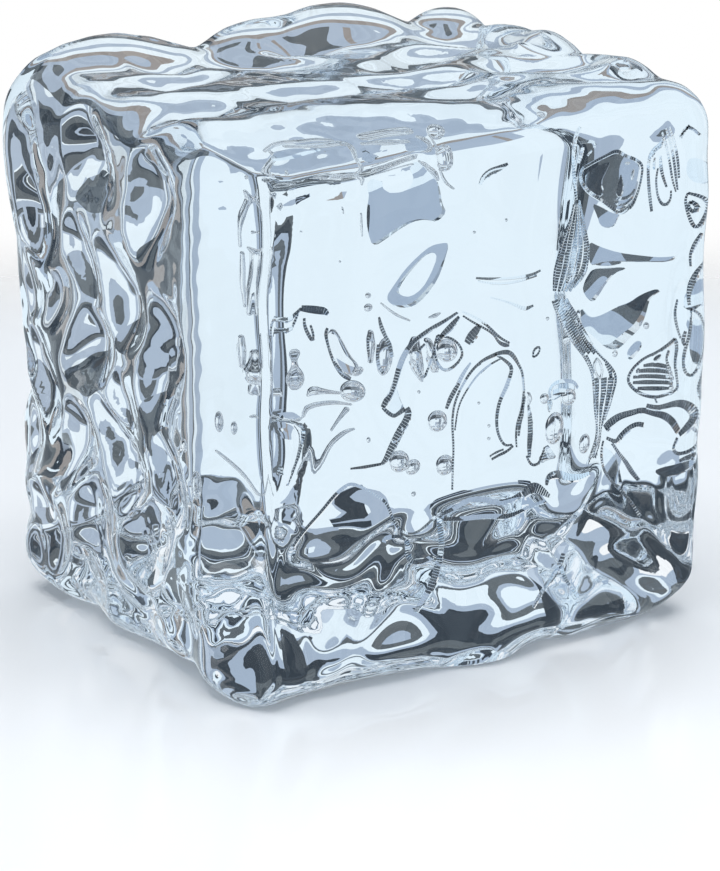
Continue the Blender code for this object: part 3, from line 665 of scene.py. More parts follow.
# Bubbles: place, half width, half height and turn in degrees
BUBBLES = (
    (-9.4, -11, 25, 1.24, 0.98, 12), (-9.3, -12, 26.9, 0.62, 0.36, -20), (-1.1, -14, 44.8, 0.77, 0.77, 0),
    (8.7, -16, 46.3, 0.41, 0.41, 0), (-5.1, -9, 27.1, 0.88, 1.65, 8), (-4.5, -11, 18, 1.03, 0.93, 20),
    (-3.5, -12, 17.5, 0.82, 0.62, -30), (0, -10, 20.8, 0.93, 0.93, 0), (-0.1, -12, 17.1, 0.93, 0.98, 20),
    (2.5, -7, 26.4, 1.03, 1.03, 0), (12.9, -13, 21.5, 0.82, 0.77, 0), (10.1, -13, 21.8, 0.49, 0.52, 0),
    (11.8, -12, 18.6, 0.98, 1.44, 10), (13.8, -15, 17.4, 0.57, 0.93, 15), (12, -14, 27.1, 0.46, 0.46, 0),
    (-7.7, -11, 33.3, 0.31, 0.27, 0), (-7.7, -11, 32.2, 0.46, 0.35, -10), (4.5, -12, 20, 0.16, 0.16, 0),
    (4.5, -12, 18.8, 0.19, 0.16, 0), (-24.5, -14, 19.1, 0.52, 1.24, 0), (-25.2, -13, 22.4, 0.41, 0.62, 0),
    (-23.4, -16, 25.1, 0.41, 0.93, 0), (-21.7, -16, 24.4, 0.31, 0.62, 0), (-13.7, -9, 39.5, 0.16, 0.16, 0),
    (-8.7, -6, 35.8, 0.12, 0.12, 0), (4.9, -8, 37.1, 0.14, 0.14, 0), (-9.1, -8, 40.5, 0.1, 0.1, 0),
    (7, -10, 38.2, 0.12, 0.16, 0), (-2.4, -10, 14.5, 0.23, 0.23, 0), (-7.3, -10, 20.2, 0.19, 0.25, 0),
    (-1.9, -10, 23.7, 0.16, 0.16, 0), (4.8, -9, 21.6, 0.14, 0.14, 0), (10.6, -12, 28.9, 0.19, 0.19, 0),
    (18.9, -18, 28, 0.31, 0.31, 0), (15.5, -18, 25.9, 0.27, 0.33, 0), (11.3, -18, 29.9, 0.27, 0.62, 0),
    (18, -18, 24, 0.16, 0.27, 20), (21.4, -18, 23.5, 0.31, 0.56, 0), (21.7, -18, 21.9, 0.27, 0.27, 0),
    (15.6, -19.6, 43.5, 0.27, 0.14, 0), (16.2, -19.6, 42.4, 0.16, 0.52, 10),
)

# Thin domed leaves of air: depth, half thickness and outline
LEAVES = (
    (-11, 0.23, (-11.6, 31), (-12.2, 30.4), (-12, 29), (-11.4, 27.6), (-10.3, 26.6), (-9.2, 26.3),
     (-8.6, 27.1), (-9.6, 28.1), (-10.3, 29.3), (-11, 30.5)),
)

# Flat pockets of air, thicker downwards: depth, slope in degrees, outline, and outline of the ice inside
POCKETS = (
    (-14, 16.5, ((-8.5, 43.9), (-7.6, 43.1), (-6.2, 42.7), (-4.9, 42.8), (-4.2, 43.6), (-4.1, 44.4),
     (-3.4, 44.5), (-2.8, 44.3), (-1.9, 43.5), (-1.5, 42.4), (-1.3, 41.2), (-0.8, 40.4), (-1.7, 39.6),
     (-2.9, 40), (-4.2, 40), (-5.8, 39.4), (-7.2, 38.7), (-8.5, 38.2), (-9.1, 39.8), (-9.2, 41.5),
     (-8.9, 42.8)), ()),
    (-12, 18, ((-0.2, 37.3), (0.5, 37.2), (0, 35.6), (-0.7, 34), (-2, 32.6), (-3.2, 31.9), (-4.5, 31.9),
     (-5.7, 32.4), (-6.2, 33.1), (-5.3, 34.1), (-4.1, 35.4), (-2.6, 36.5), (-1.4, 37.2)), ((-1.1, 36.6),
     (-0.7, 36.1), (-1.4, 34.6), (-2.3, 33.4), (-3.5, 32.8), (-4.5, 33), (-4.9, 33.5), (-4.3, 34.4),
     (-3.2, 35.4), (-2, 36.4))),
    (-14, 16.5, ((-17.7, 44.4), (-17.4, 45.1), (-16.6, 45.4), (-14.9, 45.3), (-13.7, 44.8), (-12.7, 45),
     (-12.6, 44.6), (-14.2, 44.3), (-15.8, 43.9), (-17.3, 44)), ()),
    (-8, 17.5, ((-3.3, 24.9), (-3.5, 23.8), (-3.9, 22.8), (-4.4, 22.2), (-3.7, 21.2), (-2.5, 22),
     (-3, 22.8), (-3.3, 23.8)), ()),
    (-13, 24, ((10.5, 17.6), (11.1, 16.8), (11.7, 16), (10.7, 16), (9.9, 15.7), (9.5, 16.2), (10.1, 16.9)),
     ()),
    (-13, 30, ((10.7, 21.6), (11.1, 21.4), (11, 20.8), (10.7, 20.3), (10.4, 21)), ()),
    (-13, 17.5, ((10.3, 22), (10.6, 22.7), (11.5, 23.1), (13, 22.9), (13.7, 22.3), (13.5, 21.8),
     (12.5, 21.7), (11.9, 21.7), (11.1, 21.4)), ()),
    (-18.6, 11, ((14.9, 44.4), (15.7, 44), (17.1, 43.4), (17.6, 42.9), (17.5, 41.9), (17.2, 40.6),
     (16.6, 39.7), (15.8, 39.2), (15.1, 39.2), (14.4, 39.7), (13.3, 40.5), (11.9, 41.3), (11.2, 42.1),
     (11.1, 42.9), (11.3, 43.3), (12.3, 43.7), (13.7, 44.1)), ()),
    (-16.2, 15, ((12.6, 42.7), (14.2, 43.3), (15.5, 43.4), (15, 42.6), (14.5, 41.6), (15, 40.6),
     (14.4, 40.3), (13.4, 40.9), (12.6, 41.7)), ()),
    (-16.2, 18, ((16.7, 42.2), (17, 41.5), (17.2, 40.7), (17.1, 40), (16.6, 40), (16.3, 40.5),
     (16.5, 41.3)), ()),
    (-18.6, 10, ((12.2, 40.2), (13.2, 39.8), (14.6, 39), (15.5, 38.8), (15.1, 38.3), (14.9, 37.8),
     (14, 37.7), (13.2, 38.1), (12.9, 38.9)), ()),
    (-18.6, 16, ((12, 36.8), (13.3, 36.1), (15.4, 35.3), (17.6, 34.8), (19.6, 34.4), (20.8, 34.3),
     (22.3, 34.3), (21.1, 33.8), (19, 34), (16.7, 34.3), (14.7, 34.6), (13.2, 34.6), (12.3, 34.5),
     (12, 35.6)), ()),
    (-16.8, 20, ((13.6, 34.2), (14.3, 34.4), (15.4, 34.3), (16.3, 34.2), (16.9, 33.9), (15.6, 33.8),
     (14.3, 34)), ()),
    (-18.6, 22.5, ((12.5, 34.2), (13.9, 34.1), (16, 33.9), (16.3, 33.7), (15, 33.5), (14.1, 32.7),
     (13.4, 31.8), (12.7, 31.1), (12, 31.5), (11.4, 32.4), (11.6, 33.1), (12, 33.7)), ()),
    (-18.6, 29, ((11.2, 31), (12.1, 29.9), (12.7, 29.7), (13.7, 29.8), (15.3, 30.3), (16.7, 30.5),
     (17.7, 31), (18.8, 31.3), (19.7, 31.4), (20.2, 31.1), (19.4, 30.9), (18.9, 30.5), (18.6, 29.4),
     (18.3, 28.7), (17.8, 27.9), (16.8, 27.3), (15.9, 26.6), (15.3, 26.4), (14.4, 26.6), (13.6, 27.2),
     (12.5, 28.2), (11.6, 28.9), (11.3, 29.6)), ()),
    (-18.6, 30, ((18, 26.8), (18.1, 26.3), (17.6, 25.7), (16.9, 25.2), (16.5, 25.5), (16.5, 26.1),
     (17, 26.6), (17.5, 26.9)), ()),
    (-18.6, 38, ((20.2, 25.4), (20.3, 25.1), (19.7, 24.7), (19.3, 24.9), (19.5, 25.2)), ()),
    (-18.6, 11, ((13.8, 18), (15, 17.3), (16, 16.2), (16.5, 14.7), (16.9, 13.3), (15.8, 13.9), (14.7, 15),
     (14.1, 16.2), (13.8, 17.3)), ()),
    (-18.6, 20, ((20, 14.5), (21, 14.7), (22.2, 14.7), (24.1, 14.8), (23.8, 13.8), (22.4, 13.4),
     (20.7, 13.8)), ()),
    (-18.6, 12, ((22.7, 42.9), (23.4, 43), (24.1, 42.2), (24.5, 41.1), (24.2, 40.4), (23.2, 40.9),
     (22.6, 41.8)), ()),
    (-18.6, 30, ((22.6, 30.1), (23.4, 31.4), (24.1, 31.9), (24.5, 30.7), (24.4, 29.5), (23.5, 28.8),
     (22.8, 29.1)), ()),
    (-18.6, 30, ((22.8, 28), (23.7, 28.2), (24.7, 27), (25, 25.5), (24.4, 24.4), (23.6, 23.7), (23.2, 25.3),
     (23.3, 26.7)), ()),
)

# The way that light crosses the ice from front to back, for one step in depth: pockets are drawn along it
SIGHT = (0.454, 1.0, -0.184)
# The place the block is looked at from: the prisms are drawn away from it
EYE = np.array((-148.8, -235.3, 99.2))
CHANNEL_SIDES = 10
CHANNEL_DEPTH = 2.2  # times its width
CHANNEL_SHOULDER = (0.6, 0.75)  # how far past the end it lies, and its size, both times the radius there
LEAF_RINGS = (0.96, 0.88, 0.75, 0.55, 0.3)
POCKET_RIM = 64
POCKET_THINNEST = 0.03
PRISM_LENGTH = 0.26
PRISM_GAP = 0.02
PRISM_THINNEST = 0.01
PRISM_CORNERS = 8
BUBBLE_DETAIL = 3
BUBBLE_UNEVENNESS = 0.06


def standing(flat, depth):
    """Points of a drawing, at a depth in the block."""
    return np.stack([flat[:, 0], np.full(len(flat), float(depth)), flat[:, 1]], axis=1)


def turned_in(points, faces):
    """The faces of a closed shape, each turned so that the air is behind it and the ice in front."""
    volume = 0.0
    for face in faces:
        for second, third in zip(face[1:], face[2:]):
            volume += points[face[0]] @ np.cross(points[second], points[third])
    return [face[::-1] for face in faces] if volume > 0.0 else faces


def walls(first, second, count):
    """Squares between two rims of the same number of points."""
    return [(first + i, first + (i + 1) % count, second + (i + 1) % count, second + i) for i in range(count)]


def length_along(line):
    """How far along a line each of its points is."""
    return np.concatenate([[0.0], np.cumsum(np.linalg.norm(np.diff(line[:, :2], axis=0), axis=1))])


def spread(line, run, places):
    """Points of a line at the given places along it."""
    return np.stack([np.interp(places, run, line[:, axis]) for axis in range(line.shape[1])], axis=1)


def unit_steps(line):
    """The direction of a line at each of its points."""
    forward = np.gradient(line, axis=0)
    return forward / np.linalg.norm(forward, axis=1, keepdims=True)


def channel(depth, path):
    """A round channel along a line, closed at both ends."""
    path = smoothed(path)
    radius = path[:, 2]
    centres = standing(path, depth)
    forward = unit_steps(centres)
    aside = np.cross(forward, (0.0, 1.0, 0.0))
    turn = np.linspace(0.0, TURN, CHANNEL_SIDES, endpoint=False)
    inwards = np.array((0.0, CHANNEL_DEPTH, 0.0))
    around = np.cos(turn)[:, None] * aside[:, None] + np.sin(turn)[:, None] * inwards
    rims = centres[:, None] + radius[:, None, None] * around
    past, size = CHANNEL_SHOULDER
    tips = []
    shoulders = []
    for end, way in ((0, -1.0), (-1, 1.0)):
        onwards = way * forward[end] * radius[end]
        tips.append(centres[end] + onwards)
        shoulders.append(centres[end] + past * onwards + size * radius[end] * around[end])
    rims = [shoulders[0], *rims, shoulders[1]]
    points = np.concatenate([*rims, tips])
    faces = []
    for rim in range(len(rims) - 1):
        faces += walls(rim * CHANNEL_SIDES, (rim + 1) * CHANNEL_SIDES, CHANNEL_SIDES)
    last = (len(rims) - 1) * CHANNEL_SIDES
    for i in range(CHANNEL_SIDES):
        onwards = (i + 1) % CHANNEL_SIDES
        faces.append((onwards, i, len(points) - 2))
        faces.append((last + i, last + onwards, len(points) - 1))
    return points, turned_in(points, faces)


def ribbon(depth, slope, path):
    """A thin line of small air prisms side by side, each thicker downwards and drawn away from the eye."""
    path = smoothed(path)
    run = length_along(path)
    count = max(2, round(run[-1] / PRISM_LENGTH))
    line = spread(path, run, np.linspace(0.0, run[-1], count + 1))
    forward = unit_steps(line[:, :2])
    aside = np.stack([-forward[:, 1], forward[:, 0]], axis=1) * line[:, 2:]
    points = []
    faces = []
    for start, end in zip(range(count), range(1, count + 1)):
        near = line[start, :2] * (1.0 - PRISM_GAP) + line[end, :2] * PRISM_GAP
        far = line[end, :2] * (1.0 - PRISM_GAP) + line[start, :2] * PRISM_GAP
        rim = np.stack([near + aside[start], near - aside[start], far - aside[end], far + aside[end]])
        thick = PRISM_THINNEST + math.tan(math.radians(slope)) * (rim[:, 1].max() - rim[:, 1])
        front = standing(rim, depth)
        way = front.mean(axis=0) - EYE
        prism = np.concatenate([front, front + thick[:, None] * way / way[1]])
        shape = turned_in(prism, [(3, 2, 1, 0), (4, 5, 6, 7), *walls(0, 4, 4)])
        faces += [tuple(corner + PRISM_CORNERS * start for corner in face) for face in shape]
        points.append(prism)
    return np.concatenate(points), faces


def leaf(depth, thick, outline):
    """A thin leaf of air, domed on both sides."""
    rim = rounded_outline(outline, 2)
    count = len(rim)
    middle = rim.mean(axis=0)
    points = [standing(rim, depth)]
    faces = []
    for side in (-1.0, 1.0):
        outer = 0
        dome = []
        for share in LEAF_RINGS:
            inner = sum(len(part) for part in points)
            bulge = side * thick * math.sqrt(1.0 - share**2)
            points.append(standing(middle + (rim - middle) * share, depth + bulge))
            dome += walls(outer, inner, count)
            outer = inner
        top = sum(len(part) for part in points)
        points.append(standing(middle[None], depth + side * thick))
        dome += [(outer + i, outer + (i + 1) % count, top) for i in range(count)]
        faces += dome if side > 0.0 else [face[::-1] for face in dome]
    points = np.concatenate(points)
    return points, turned_in(points, faces)


def evened(outline, count):
    """A closed outline as this many points, evenly spaced from its highest point."""
    outline = np.roll(outline, -int(np.argmax(outline[:, 1])), axis=0)
    closed = np.concatenate([outline, outline[:1]])
    run = length_along(closed)
    return spread(closed, run, np.linspace(0.0, run[-1], count, endpoint=False))


def pocket(depth, slope, outline, hole):
    """A flat-faced pocket that grows thicker downwards, with or without ice standing in it."""
    rims = [evened(rounded_outline(shape), POCKET_RIM) for shape in (outline, hole) if shape]
    top = rims[0][:, 1].max()
    points = []
    for rim in rims:
        thick = POCKET_THINNEST + math.tan(math.radians(slope)) * (top - rim[:, 1])
        front = standing(rim, depth)
        points += [front, front + thick[:, None] * np.array(SIGHT)]
    rim = list(range(POCKET_RIM))
    faces = walls(0, POCKET_RIM, POCKET_RIM)
    if hole:
        ice = walls(2 * POCKET_RIM, 3 * POCKET_RIM, POCKET_RIM)
        faces += [face[::-1] for face in ice]
        faces += walls(2 * POCKET_RIM, 0, POCKET_RIM)
        faces += walls(POCKET_RIM, 3 * POCKET_RIM, POCKET_RIM)
    else:
        faces += [tuple(rim[::-1]), tuple(POCKET_RIM + i for i in rim)]
    points = np.concatenate(points)
    return points, turned_in(points, faces)


def named_vector(tree, name):
    """The vectors kept under a name on the points."""
    node = feed(tree, tree.nodes.new("GeometryNodeInputNamedAttribute"), Name=name)
    node.data_type = "FLOAT_VECTOR"
    return node.outputs["Attribute"]


def bubble_tree():
    """Geometry nodes that put an oval bubble at each point, sized and turned by its own numbers."""
    tree = bpy.data.node_groups.new("bubbles", "GeometryNodeTree")
    tree.interface.new_socket("Geometry", in_out="OUTPUT", socket_type="NodeSocketGeometry")
    tree.interface.new_socket("Geometry", in_out="INPUT", socket_type="NodeSocketGeometry")
    for name, kind in (("Detail", "Int"), ("Uneven", "Float"), ("Seed", "Int"), ("Material", "Material")):
        tree.interface.new_socket(name, in_out="INPUT", socket_type="NodeSocket" + kind)
    new = tree.nodes.new
    given = new("NodeGroupInput").outputs
    ball = feed(tree, new("GeometryNodeMeshIcoSphere"), Subdivisions=given["Detail"])
    inside_out = feed(tree, new("GeometryNodeFlipFaces"), Mesh=ball.outputs["Mesh"])
    uneven = new("FunctionNodeRandomValue")
    uneven.data_type = "FLOAT_VECTOR"
    least = maths(tree, "SUBTRACT", 1.0, given["Uneven"])
    most = maths(tree, "ADD", 1.0, given["Uneven"])
    feed(tree, uneven, Min=least, Max=most, Seed=given["Seed"])
    scale = new("ShaderNodeVectorMath")
    scale.operation = "MULTIPLY"
    tree.links.new(named_vector(tree, "size"), scale.inputs[0])
    tree.links.new(uneven.outputs["Value"], scale.inputs[1])
    placed = feed(
        tree,
        new("GeometryNodeInstanceOnPoints"),
        Points=given["Geometry"],
        Instance=inside_out.outputs["Mesh"],
        Rotation=named_vector(tree, "turn"),
        Scale=scale.outputs["Vector"],
    )
    real = feed(tree, new("GeometryNodeRealizeInstances"), Geometry=placed.outputs["Instances"])
    finish = feed(
        tree,
        new("GeometryNodeSetMaterial"),
        Geometry=real.outputs["Geometry"],
        Material=given["Material"],
    )
    feed(tree, new("NodeGroupOutput"), Geometry=finish.outputs["Geometry"])
    return tree


def bubbles(settings, material):
    """All the bubbles, as points in millimetres and facets."""
    table = np.array(BUBBLES)
    mesh = bpy.data.meshes.new("bubble places")
    mesh.from_pydata(table[:, :3].tolist(), [], [])
    size = mesh.attributes.new("size", "FLOAT_VECTOR", "POINT")
    size.data.foreach_set("vector", table[:, (3, 3, 4)].ravel())
    turn = mesh.attributes.new("turn", "FLOAT_VECTOR", "POINT")
    turn.data.foreach_set("vector", np.radians(table[:, 5:] * (0.0, 1.0, 0.0)).ravel())
    places = bpy.data.objects.new("bubble places", mesh)
    bpy.context.scene.collection.objects.link(places)
    tree = bubble_tree()
    modifier = places.modifiers.new("bubbles", "NODES")
    modifier.node_group = tree
    values = {
        "Detail": BUBBLE_DETAIL,
        "Uneven": BUBBLE_UNEVENNESS,
        "Seed": settings.bubble_seed,
        "Material": material,
    }
    for item in tree.interface.items_tree:
        if item.in_out == "INPUT" and item.name in values:
            modifier[item.identifier] = values[item.name]
    graph = bpy.context.evaluated_depsgraph_get()
    made = bpy.data.meshes.new_from_object(places.evaluated_get(graph))
    points = np.array([vertex.co[:] for vertex in made.vertices])
    faces = [tuple(polygon.vertices) for polygon in made.polygons]
    bpy.data.objects.remove(places)
    bpy.data.meshes.remove(made)
    return points, faces


# ---------------------------------------------------------------------------
# Ice
# ---------------------------------------------------------------------------


def clear_ice(settings):
    """Clear ice: plain transmission at ice's index, with its faint blue taken up along the way."""
    material = bpy.data.materials.new("clear ice")
    material.use_nodes = True
    tree = material.node_tree
    feed(
        tree,
        tree.nodes["Principled BSDF"],
        Base_Color=(1.0, 1.0, 1.0, 1.0),
        Metallic=0.0,
        Roughness=0.0,
        IOR=settings.index,
        Transmission_Weight=1.0,
    )
    absorption = tree.nodes.new("ShaderNodeVolumeAbsorption")
    feed(tree, absorption, Color=(*settings.tint, 1.0), Density=settings.absorption)
    feed(tree, tree.nodes["Material Output"], Volume=absorption.outputs[0])
    return material


def ice_shapes(settings, material):
    """The skin and every pocket of air, each as points in millimetres, faces, and whether they are smooth."""
    unit, squares = lattice(settings.cell / MM)
    yield shaped(*rounded_block(unit)), squares.tolist(), True
    for depth, *path in CHANNELS:
        yield *channel(depth, path), True
    for depth, slope, *path in RIBBONS:
        yield *ribbon(depth, slope, path), False
    for depth, thick, *outline in LEAVES:
        yield *leaf(depth, thick, outline), True
    for depth, slope, outline, hole in POCKETS:
        yield *pocket(depth, slope, outline, hole), False
    yield *bubbles(settings, material), True


def ice_mesh(settings, material):
    """All of the ice's surfaces as points in metres, faces, and which faces are smooth."""
    points = []
    faces = []
    smooth = []
    count = 0
    for some_points, some_faces, is_smooth in ice_shapes(settings, material):
        points.append(some_points)
        faces += [[corner + count for corner in face] for face in some_faces]
        smooth += [is_smooth] * len(some_faces)
        count += len(some_points)
    return (np.concatenate(points) - MIDDLE) * MM, faces, smooth


def new_mesh_object(name, points, faces, smooth, material):
    """A mesh object with some faces or all of them smooth."""
    mesh = bpy.data.meshes.new(name)
    mesh.from_pydata(points.tolist(), [], faces)
    mesh.polygons.foreach_set("use_smooth", smooth)
    mesh.update()
    mesh.materials.append(material)
    made = bpy.data.objects.new(name, mesh)
    bpy.context.scene.collection.objects.link(made)
    return made


class IceBlockSettings(bpy.types.PropertyGroup):
    """Sizes and colours of the block."""

    cell: bpy.props.FloatProperty(
        name="Cell",
        description="Side of one facet of the skin",
        default=0.45 * MM,
        min=0.1 * MM,
        unit="LENGTH",
    )
    index: bpy.props.FloatProperty(
        name="Refractive Index",
        description="How strongly the ice bends light",
        default=1.31,
        min=1.0,
    )
    tint: bpy.props.FloatVectorProperty(
        name="Tint",
        description="Colour the ice leaves in light that passes through it",
        default=(0.80, 0.91, 1.0),
        subtype="COLOR",
    )
    absorption: bpy.props.FloatProperty(
        name="Absorption",
        description="How quickly the tint deepens along the way through the ice",
        default=8.0,
        min=0.0,
    )
    bubble_seed: bpy.props.IntProperty(
        name="Bubble Seed",
        description="Seed of the small unevenness of the bubbles",
        default=4,
    )


class ICE_OT_block(bpy.types.Operator):
    """Make the block of clear ice"""

    bl_idname = "ice.block"
    bl_label = "Ice Block"

    def execute(self, context):
        settings = context.scene.ice_block
        material = clear_ice(settings)
        block = new_mesh_object("clear_ice_block", *ice_mesh(settings, material), material)
        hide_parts("ice_block")
        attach(block, "root")
        return {"FINISHED"}


# ---------------------------------------------------------------------------
# Studio
# ---------------------------------------------------------------------------

WHITE = (1.0, 1.0, 1.0)
PALE = (0.84, 0.94, 1.0)
HAZE = (0.57, 0.66, 0.77)
MIST = (0.41, 0.495, 0.61)
SLATE = (0.12, 0.14, 0.155)
DARK = (0.042, 0.055, 0.07)
WARM = (0.33, 0.305, 0.29)

# Every table of tones below: angle in degrees, and the colour from there on. A ring changes by azimuth,
# from +Y towards +X, and lies between the elevation it starts from and the next ring's. All else changes
# by elevation.
FULL_CIRCLE = 360.0
HALF_CIRCLE = 180.0

# Below the rings, from straight down
GROUND = (
    (-90, MIST), (-66, WARM), (-58, SLATE), (-52, PALE), (-42, MIST), (-38, PALE), (-35, WARM), (-32, MIST),
)

# The lowest ring round the block
LOWEST_FROM = -29.0
LOWEST_RING = (
    (-180, SLATE), (-168, MIST), (-150, PALE), (-92, WARM), (-78, SLATE), (-66, DARK), (-58, PALE),
    (24.5, MIST), (32, WARM), (35, MIST), (40, SLATE), (43, MIST), (47, SLATE), (53, MIST), (60, SLATE),
    (66, DARK), (72, SLATE), (82, MIST), (95, SLATE), (106, DARK), (114, MIST), (122, SLATE), (136, DARK),
    (142, WARM), (149, DARK), (153, SLATE), (160, MIST), (170, DARK),
)

# The low ring, whose top changes by elevation over one stretch of azimuth
LOW_FROM = -19.5
LOW_RING = (
    (-180, SLATE), (-172, PALE), (41, SLATE), (42.5, DARK), (46, MIST), (48, PALE), (48.8, SLATE),
    (51, MIST), (53.6, PALE), (61, MIST), (66.5, PALE), (69.5, SLATE), (71.5, MIST), (75, PALE), (79, DARK),
    (81.5, MIST), (86, WARM), (95, MIST), (101, SLATE), (108, DARK), (114, PALE), (132, SLATE), (136, DARK),
    (142, WARM), (149, DARK), (153, SLATE), (160, MIST), (168, WARM), (174, DARK),
)
FLANK = (49.0, 66.0)
FLANK_FROM = -12.2
FLANK_TONES = (
    (-90, MIST), (-11.4, SLATE), (-9.6, DARK),
)

# The middle ring, where the stretches below don't cover it
MIDDLE_FROM = -8.5
MIDDLE_RING = (
    (-180, MIST), (-170, DARK), (-164, WARM), (-154, WHITE), (-140, SLATE), (-132, MIST), (60, DARK),
    (66, MIST), (74, SLATE), (80, WHITE), (90, MIST), (97, DARK), (103, SLATE), (110, WARM), (120, DARK),
    (126, PALE), (140, MIST), (146, DARK), (152, WHITE), (160, SLATE), (168, DARK), (174, WARM),
)

# Behind the block it changes by elevation, in one way up to the azimuth of the split and in another past it
BEHIND = (-84.0, 58.0)
SPLIT = 26.0
BEHIND_TONES = (
    (-90, MIST), (-5.6, PALE), (-4.9, SLATE), (-1.5, DARK), (1, MIST), (1.6, DARK), (3.4, PALE), (4, SLATE),
    (6, DARK), (8.4, PALE), (9.2, SLATE), (11, DARK), (14, MIST), (15, DARK), (17, SLATE), (19, DARK),
    (21.5, MIST), (22.6, PALE), (24.4, SLATE), (25.6, MIST), (26.6, PALE),
)
BEHIND_LEFT_TONES = (
    (-90, PALE), (-6.8, MIST), (-4.2, SLATE), (-1.5, DARK), (12, SLATE), (15, DARK),
)

# To the left of that stretch it changes by elevation too
BESIDE = (-132.0, -84.0)
BESIDE_TONES = (
    (-90, PALE), (-1.5, DARK), (10, PALE),
)

# A narrow patch of many lines across the low and middle rings, for the ice's foot to mirror
PATCH = (25.5, 31.8)
PATCH_HEIGHT = (-10.1, -4.9)
PATCH_TONES = (
    (-90, MIST), (-9.9, DARK), (-8.5, MIST), (-8.2, DARK), (-7.5, PALE), (-7.1, DARK), (-5.8, MIST),
    (-5.4, DARK),
)

# The high ring
HIGH_FROM = 28.0
HIGH_RING = (
    (-180, WHITE), (-160, SLATE), (-150, WARM), (-132, MIST), (-112, WHITE), (-84, SLATE), (-66, WHITE),
    (-34, MIST), (-20, SLATE), (2, MIST), (14, HAZE), (24, PALE), (36, MIST), (58, WHITE), (92, DARK),
    (104, WARM), (122, WHITE), (140, SLATE), (160, WHITE),
)

# Above the rings, up to straight overhead
CAP_FROM = 40.0
CAP_TONES = (
    (-90, MIST), (43, PALE), (46, SLATE), (49.5, PALE), (51.5, MIST), (54, DARK), (58, PALE), (60, SLATE),
    (64, MIST), (68, WHITE),
)

# The light on the floor comes from straight overhead
LAMP_FROM = 62.0
LAMP = (4.5, 4.5, 4.5)

FLOOR_COLOUR = (0.93, 0.95, 0.975)
FLOOR_ROUGHNESS = 0.16
FLOOR_FADE = (0.085, 0.17)
FLOOR_CORNERS = 96

CAMERA_AZIMUTH = -32.4
CAMERA_ELEVATION = 16.65
CAMERA_DISTANCE = 0.288
CAMERA_LENS = 129.2
CAMERA_ASIDE = 0.00045
CAMERA_DOWN = 0.00866
CAMERA_NEAREST = 0.01

MOST_BOUNCES = 24
GLOSSY_BOUNCES = 12


def tones(tree, angle, span, steps):
    """Flat tones that change at the given angles in degrees, out of a span that has nought in its middle."""
    ramp = tree.nodes.new("ShaderNodeValToRGB")
    ramp.color_ramp.interpolation = "CONSTANT"
    stops = ramp.color_ramp.elements
    stops.remove(stops[-1])
    for number, (start, shade) in enumerate(steps):
        place = start / span + 0.5
        stop = stops[0] if number == 0 else stops.new(place)
        stop.position = place
        stop.color = (*shade, 1.0)
    tree.links.new(maths(tree, "MULTIPLY_ADD", angle, 1.0 / span, 0.5), ramp.inputs[0])
    return ramp.outputs[0]


def between(tree, value, limits):
    """One where a value lies between two limits, nought elsewhere."""
    from_middle = maths(tree, "ABSOLUTE", maths(tree, "SUBTRACT", value, sum(limits) / 2))
    return maths(tree, "LESS_THAN", from_middle, (limits[1] - limits[0]) / 2)


def studio_world():
    """Flat tones all round: by elevation below and above, mostly by azimuth in four rings between."""
    world = bpy.data.worlds.new("studio")
    bpy.context.scene.world = world
    world.use_nodes = True
    tree = world.node_tree
    place = tree.nodes.new("ShaderNodeTexCoord").outputs["Generated"]
    parts = feed(tree, tree.nodes.new("ShaderNodeSeparateXYZ"), Vector=place).outputs
    azimuth = maths(tree, "DEGREES", maths(tree, "ARCTAN2", parts["X"], parts["Y"]))
    elevation = maths(tree, "DEGREES", maths(tree, "ARCSINE", parts["Z"]))

    def around(table):
        return tones(tree, azimuth, FULL_CIRCLE, table)

    def upwards(table):
        return tones(tree, elevation, HALF_CIRCLE, table)

    def both(first, second):
        return maths(tree, "MULTIPLY", first, second)

    def above(limit):
        return maths(tree, "GREATER_THAN", elevation, limit)

    behind = mixed(
        tree, maths(tree, "GREATER_THAN", azimuth, SPLIT), upwards(BEHIND_LEFT_TONES), upwards(BEHIND_TONES)
    )
    middle = mixed(tree, between(tree, azimuth, BEHIND), around(MIDDLE_RING), behind)
    middle = mixed(tree, between(tree, azimuth, BESIDE), middle, upwards(BESIDE_TONES))
    flank = both(between(tree, azimuth, FLANK), above(FLANK_FROM))
    low = mixed(tree, flank, around(LOW_RING), upwards(FLANK_TONES))
    colour = upwards(GROUND)
    for start, layer in (
        (LOWEST_FROM, around(LOWEST_RING)),
        (LOW_FROM, low),
        (MIDDLE_FROM, middle),
        (HIGH_FROM, around(HIGH_RING)),
        (CAP_FROM, upwards(CAP_TONES)),
    ):
        colour = mixed(tree, above(start), colour, layer)
    patch = both(between(tree, azimuth, PATCH), between(tree, elevation, PATCH_HEIGHT))
    colour = mixed(tree, patch, colour, upwards(PATCH_TONES))
    light = tree.nodes.new("ShaderNodeLightPath").outputs
    colour = mixed(tree, both(light["Is Diffuse Ray"], above(LAMP_FROM)), colour, LAMP)
    colour = mixed(tree, light["Is Camera Ray"], colour, WHITE)
    feed(tree, tree.nodes["Background"], Color=colour)


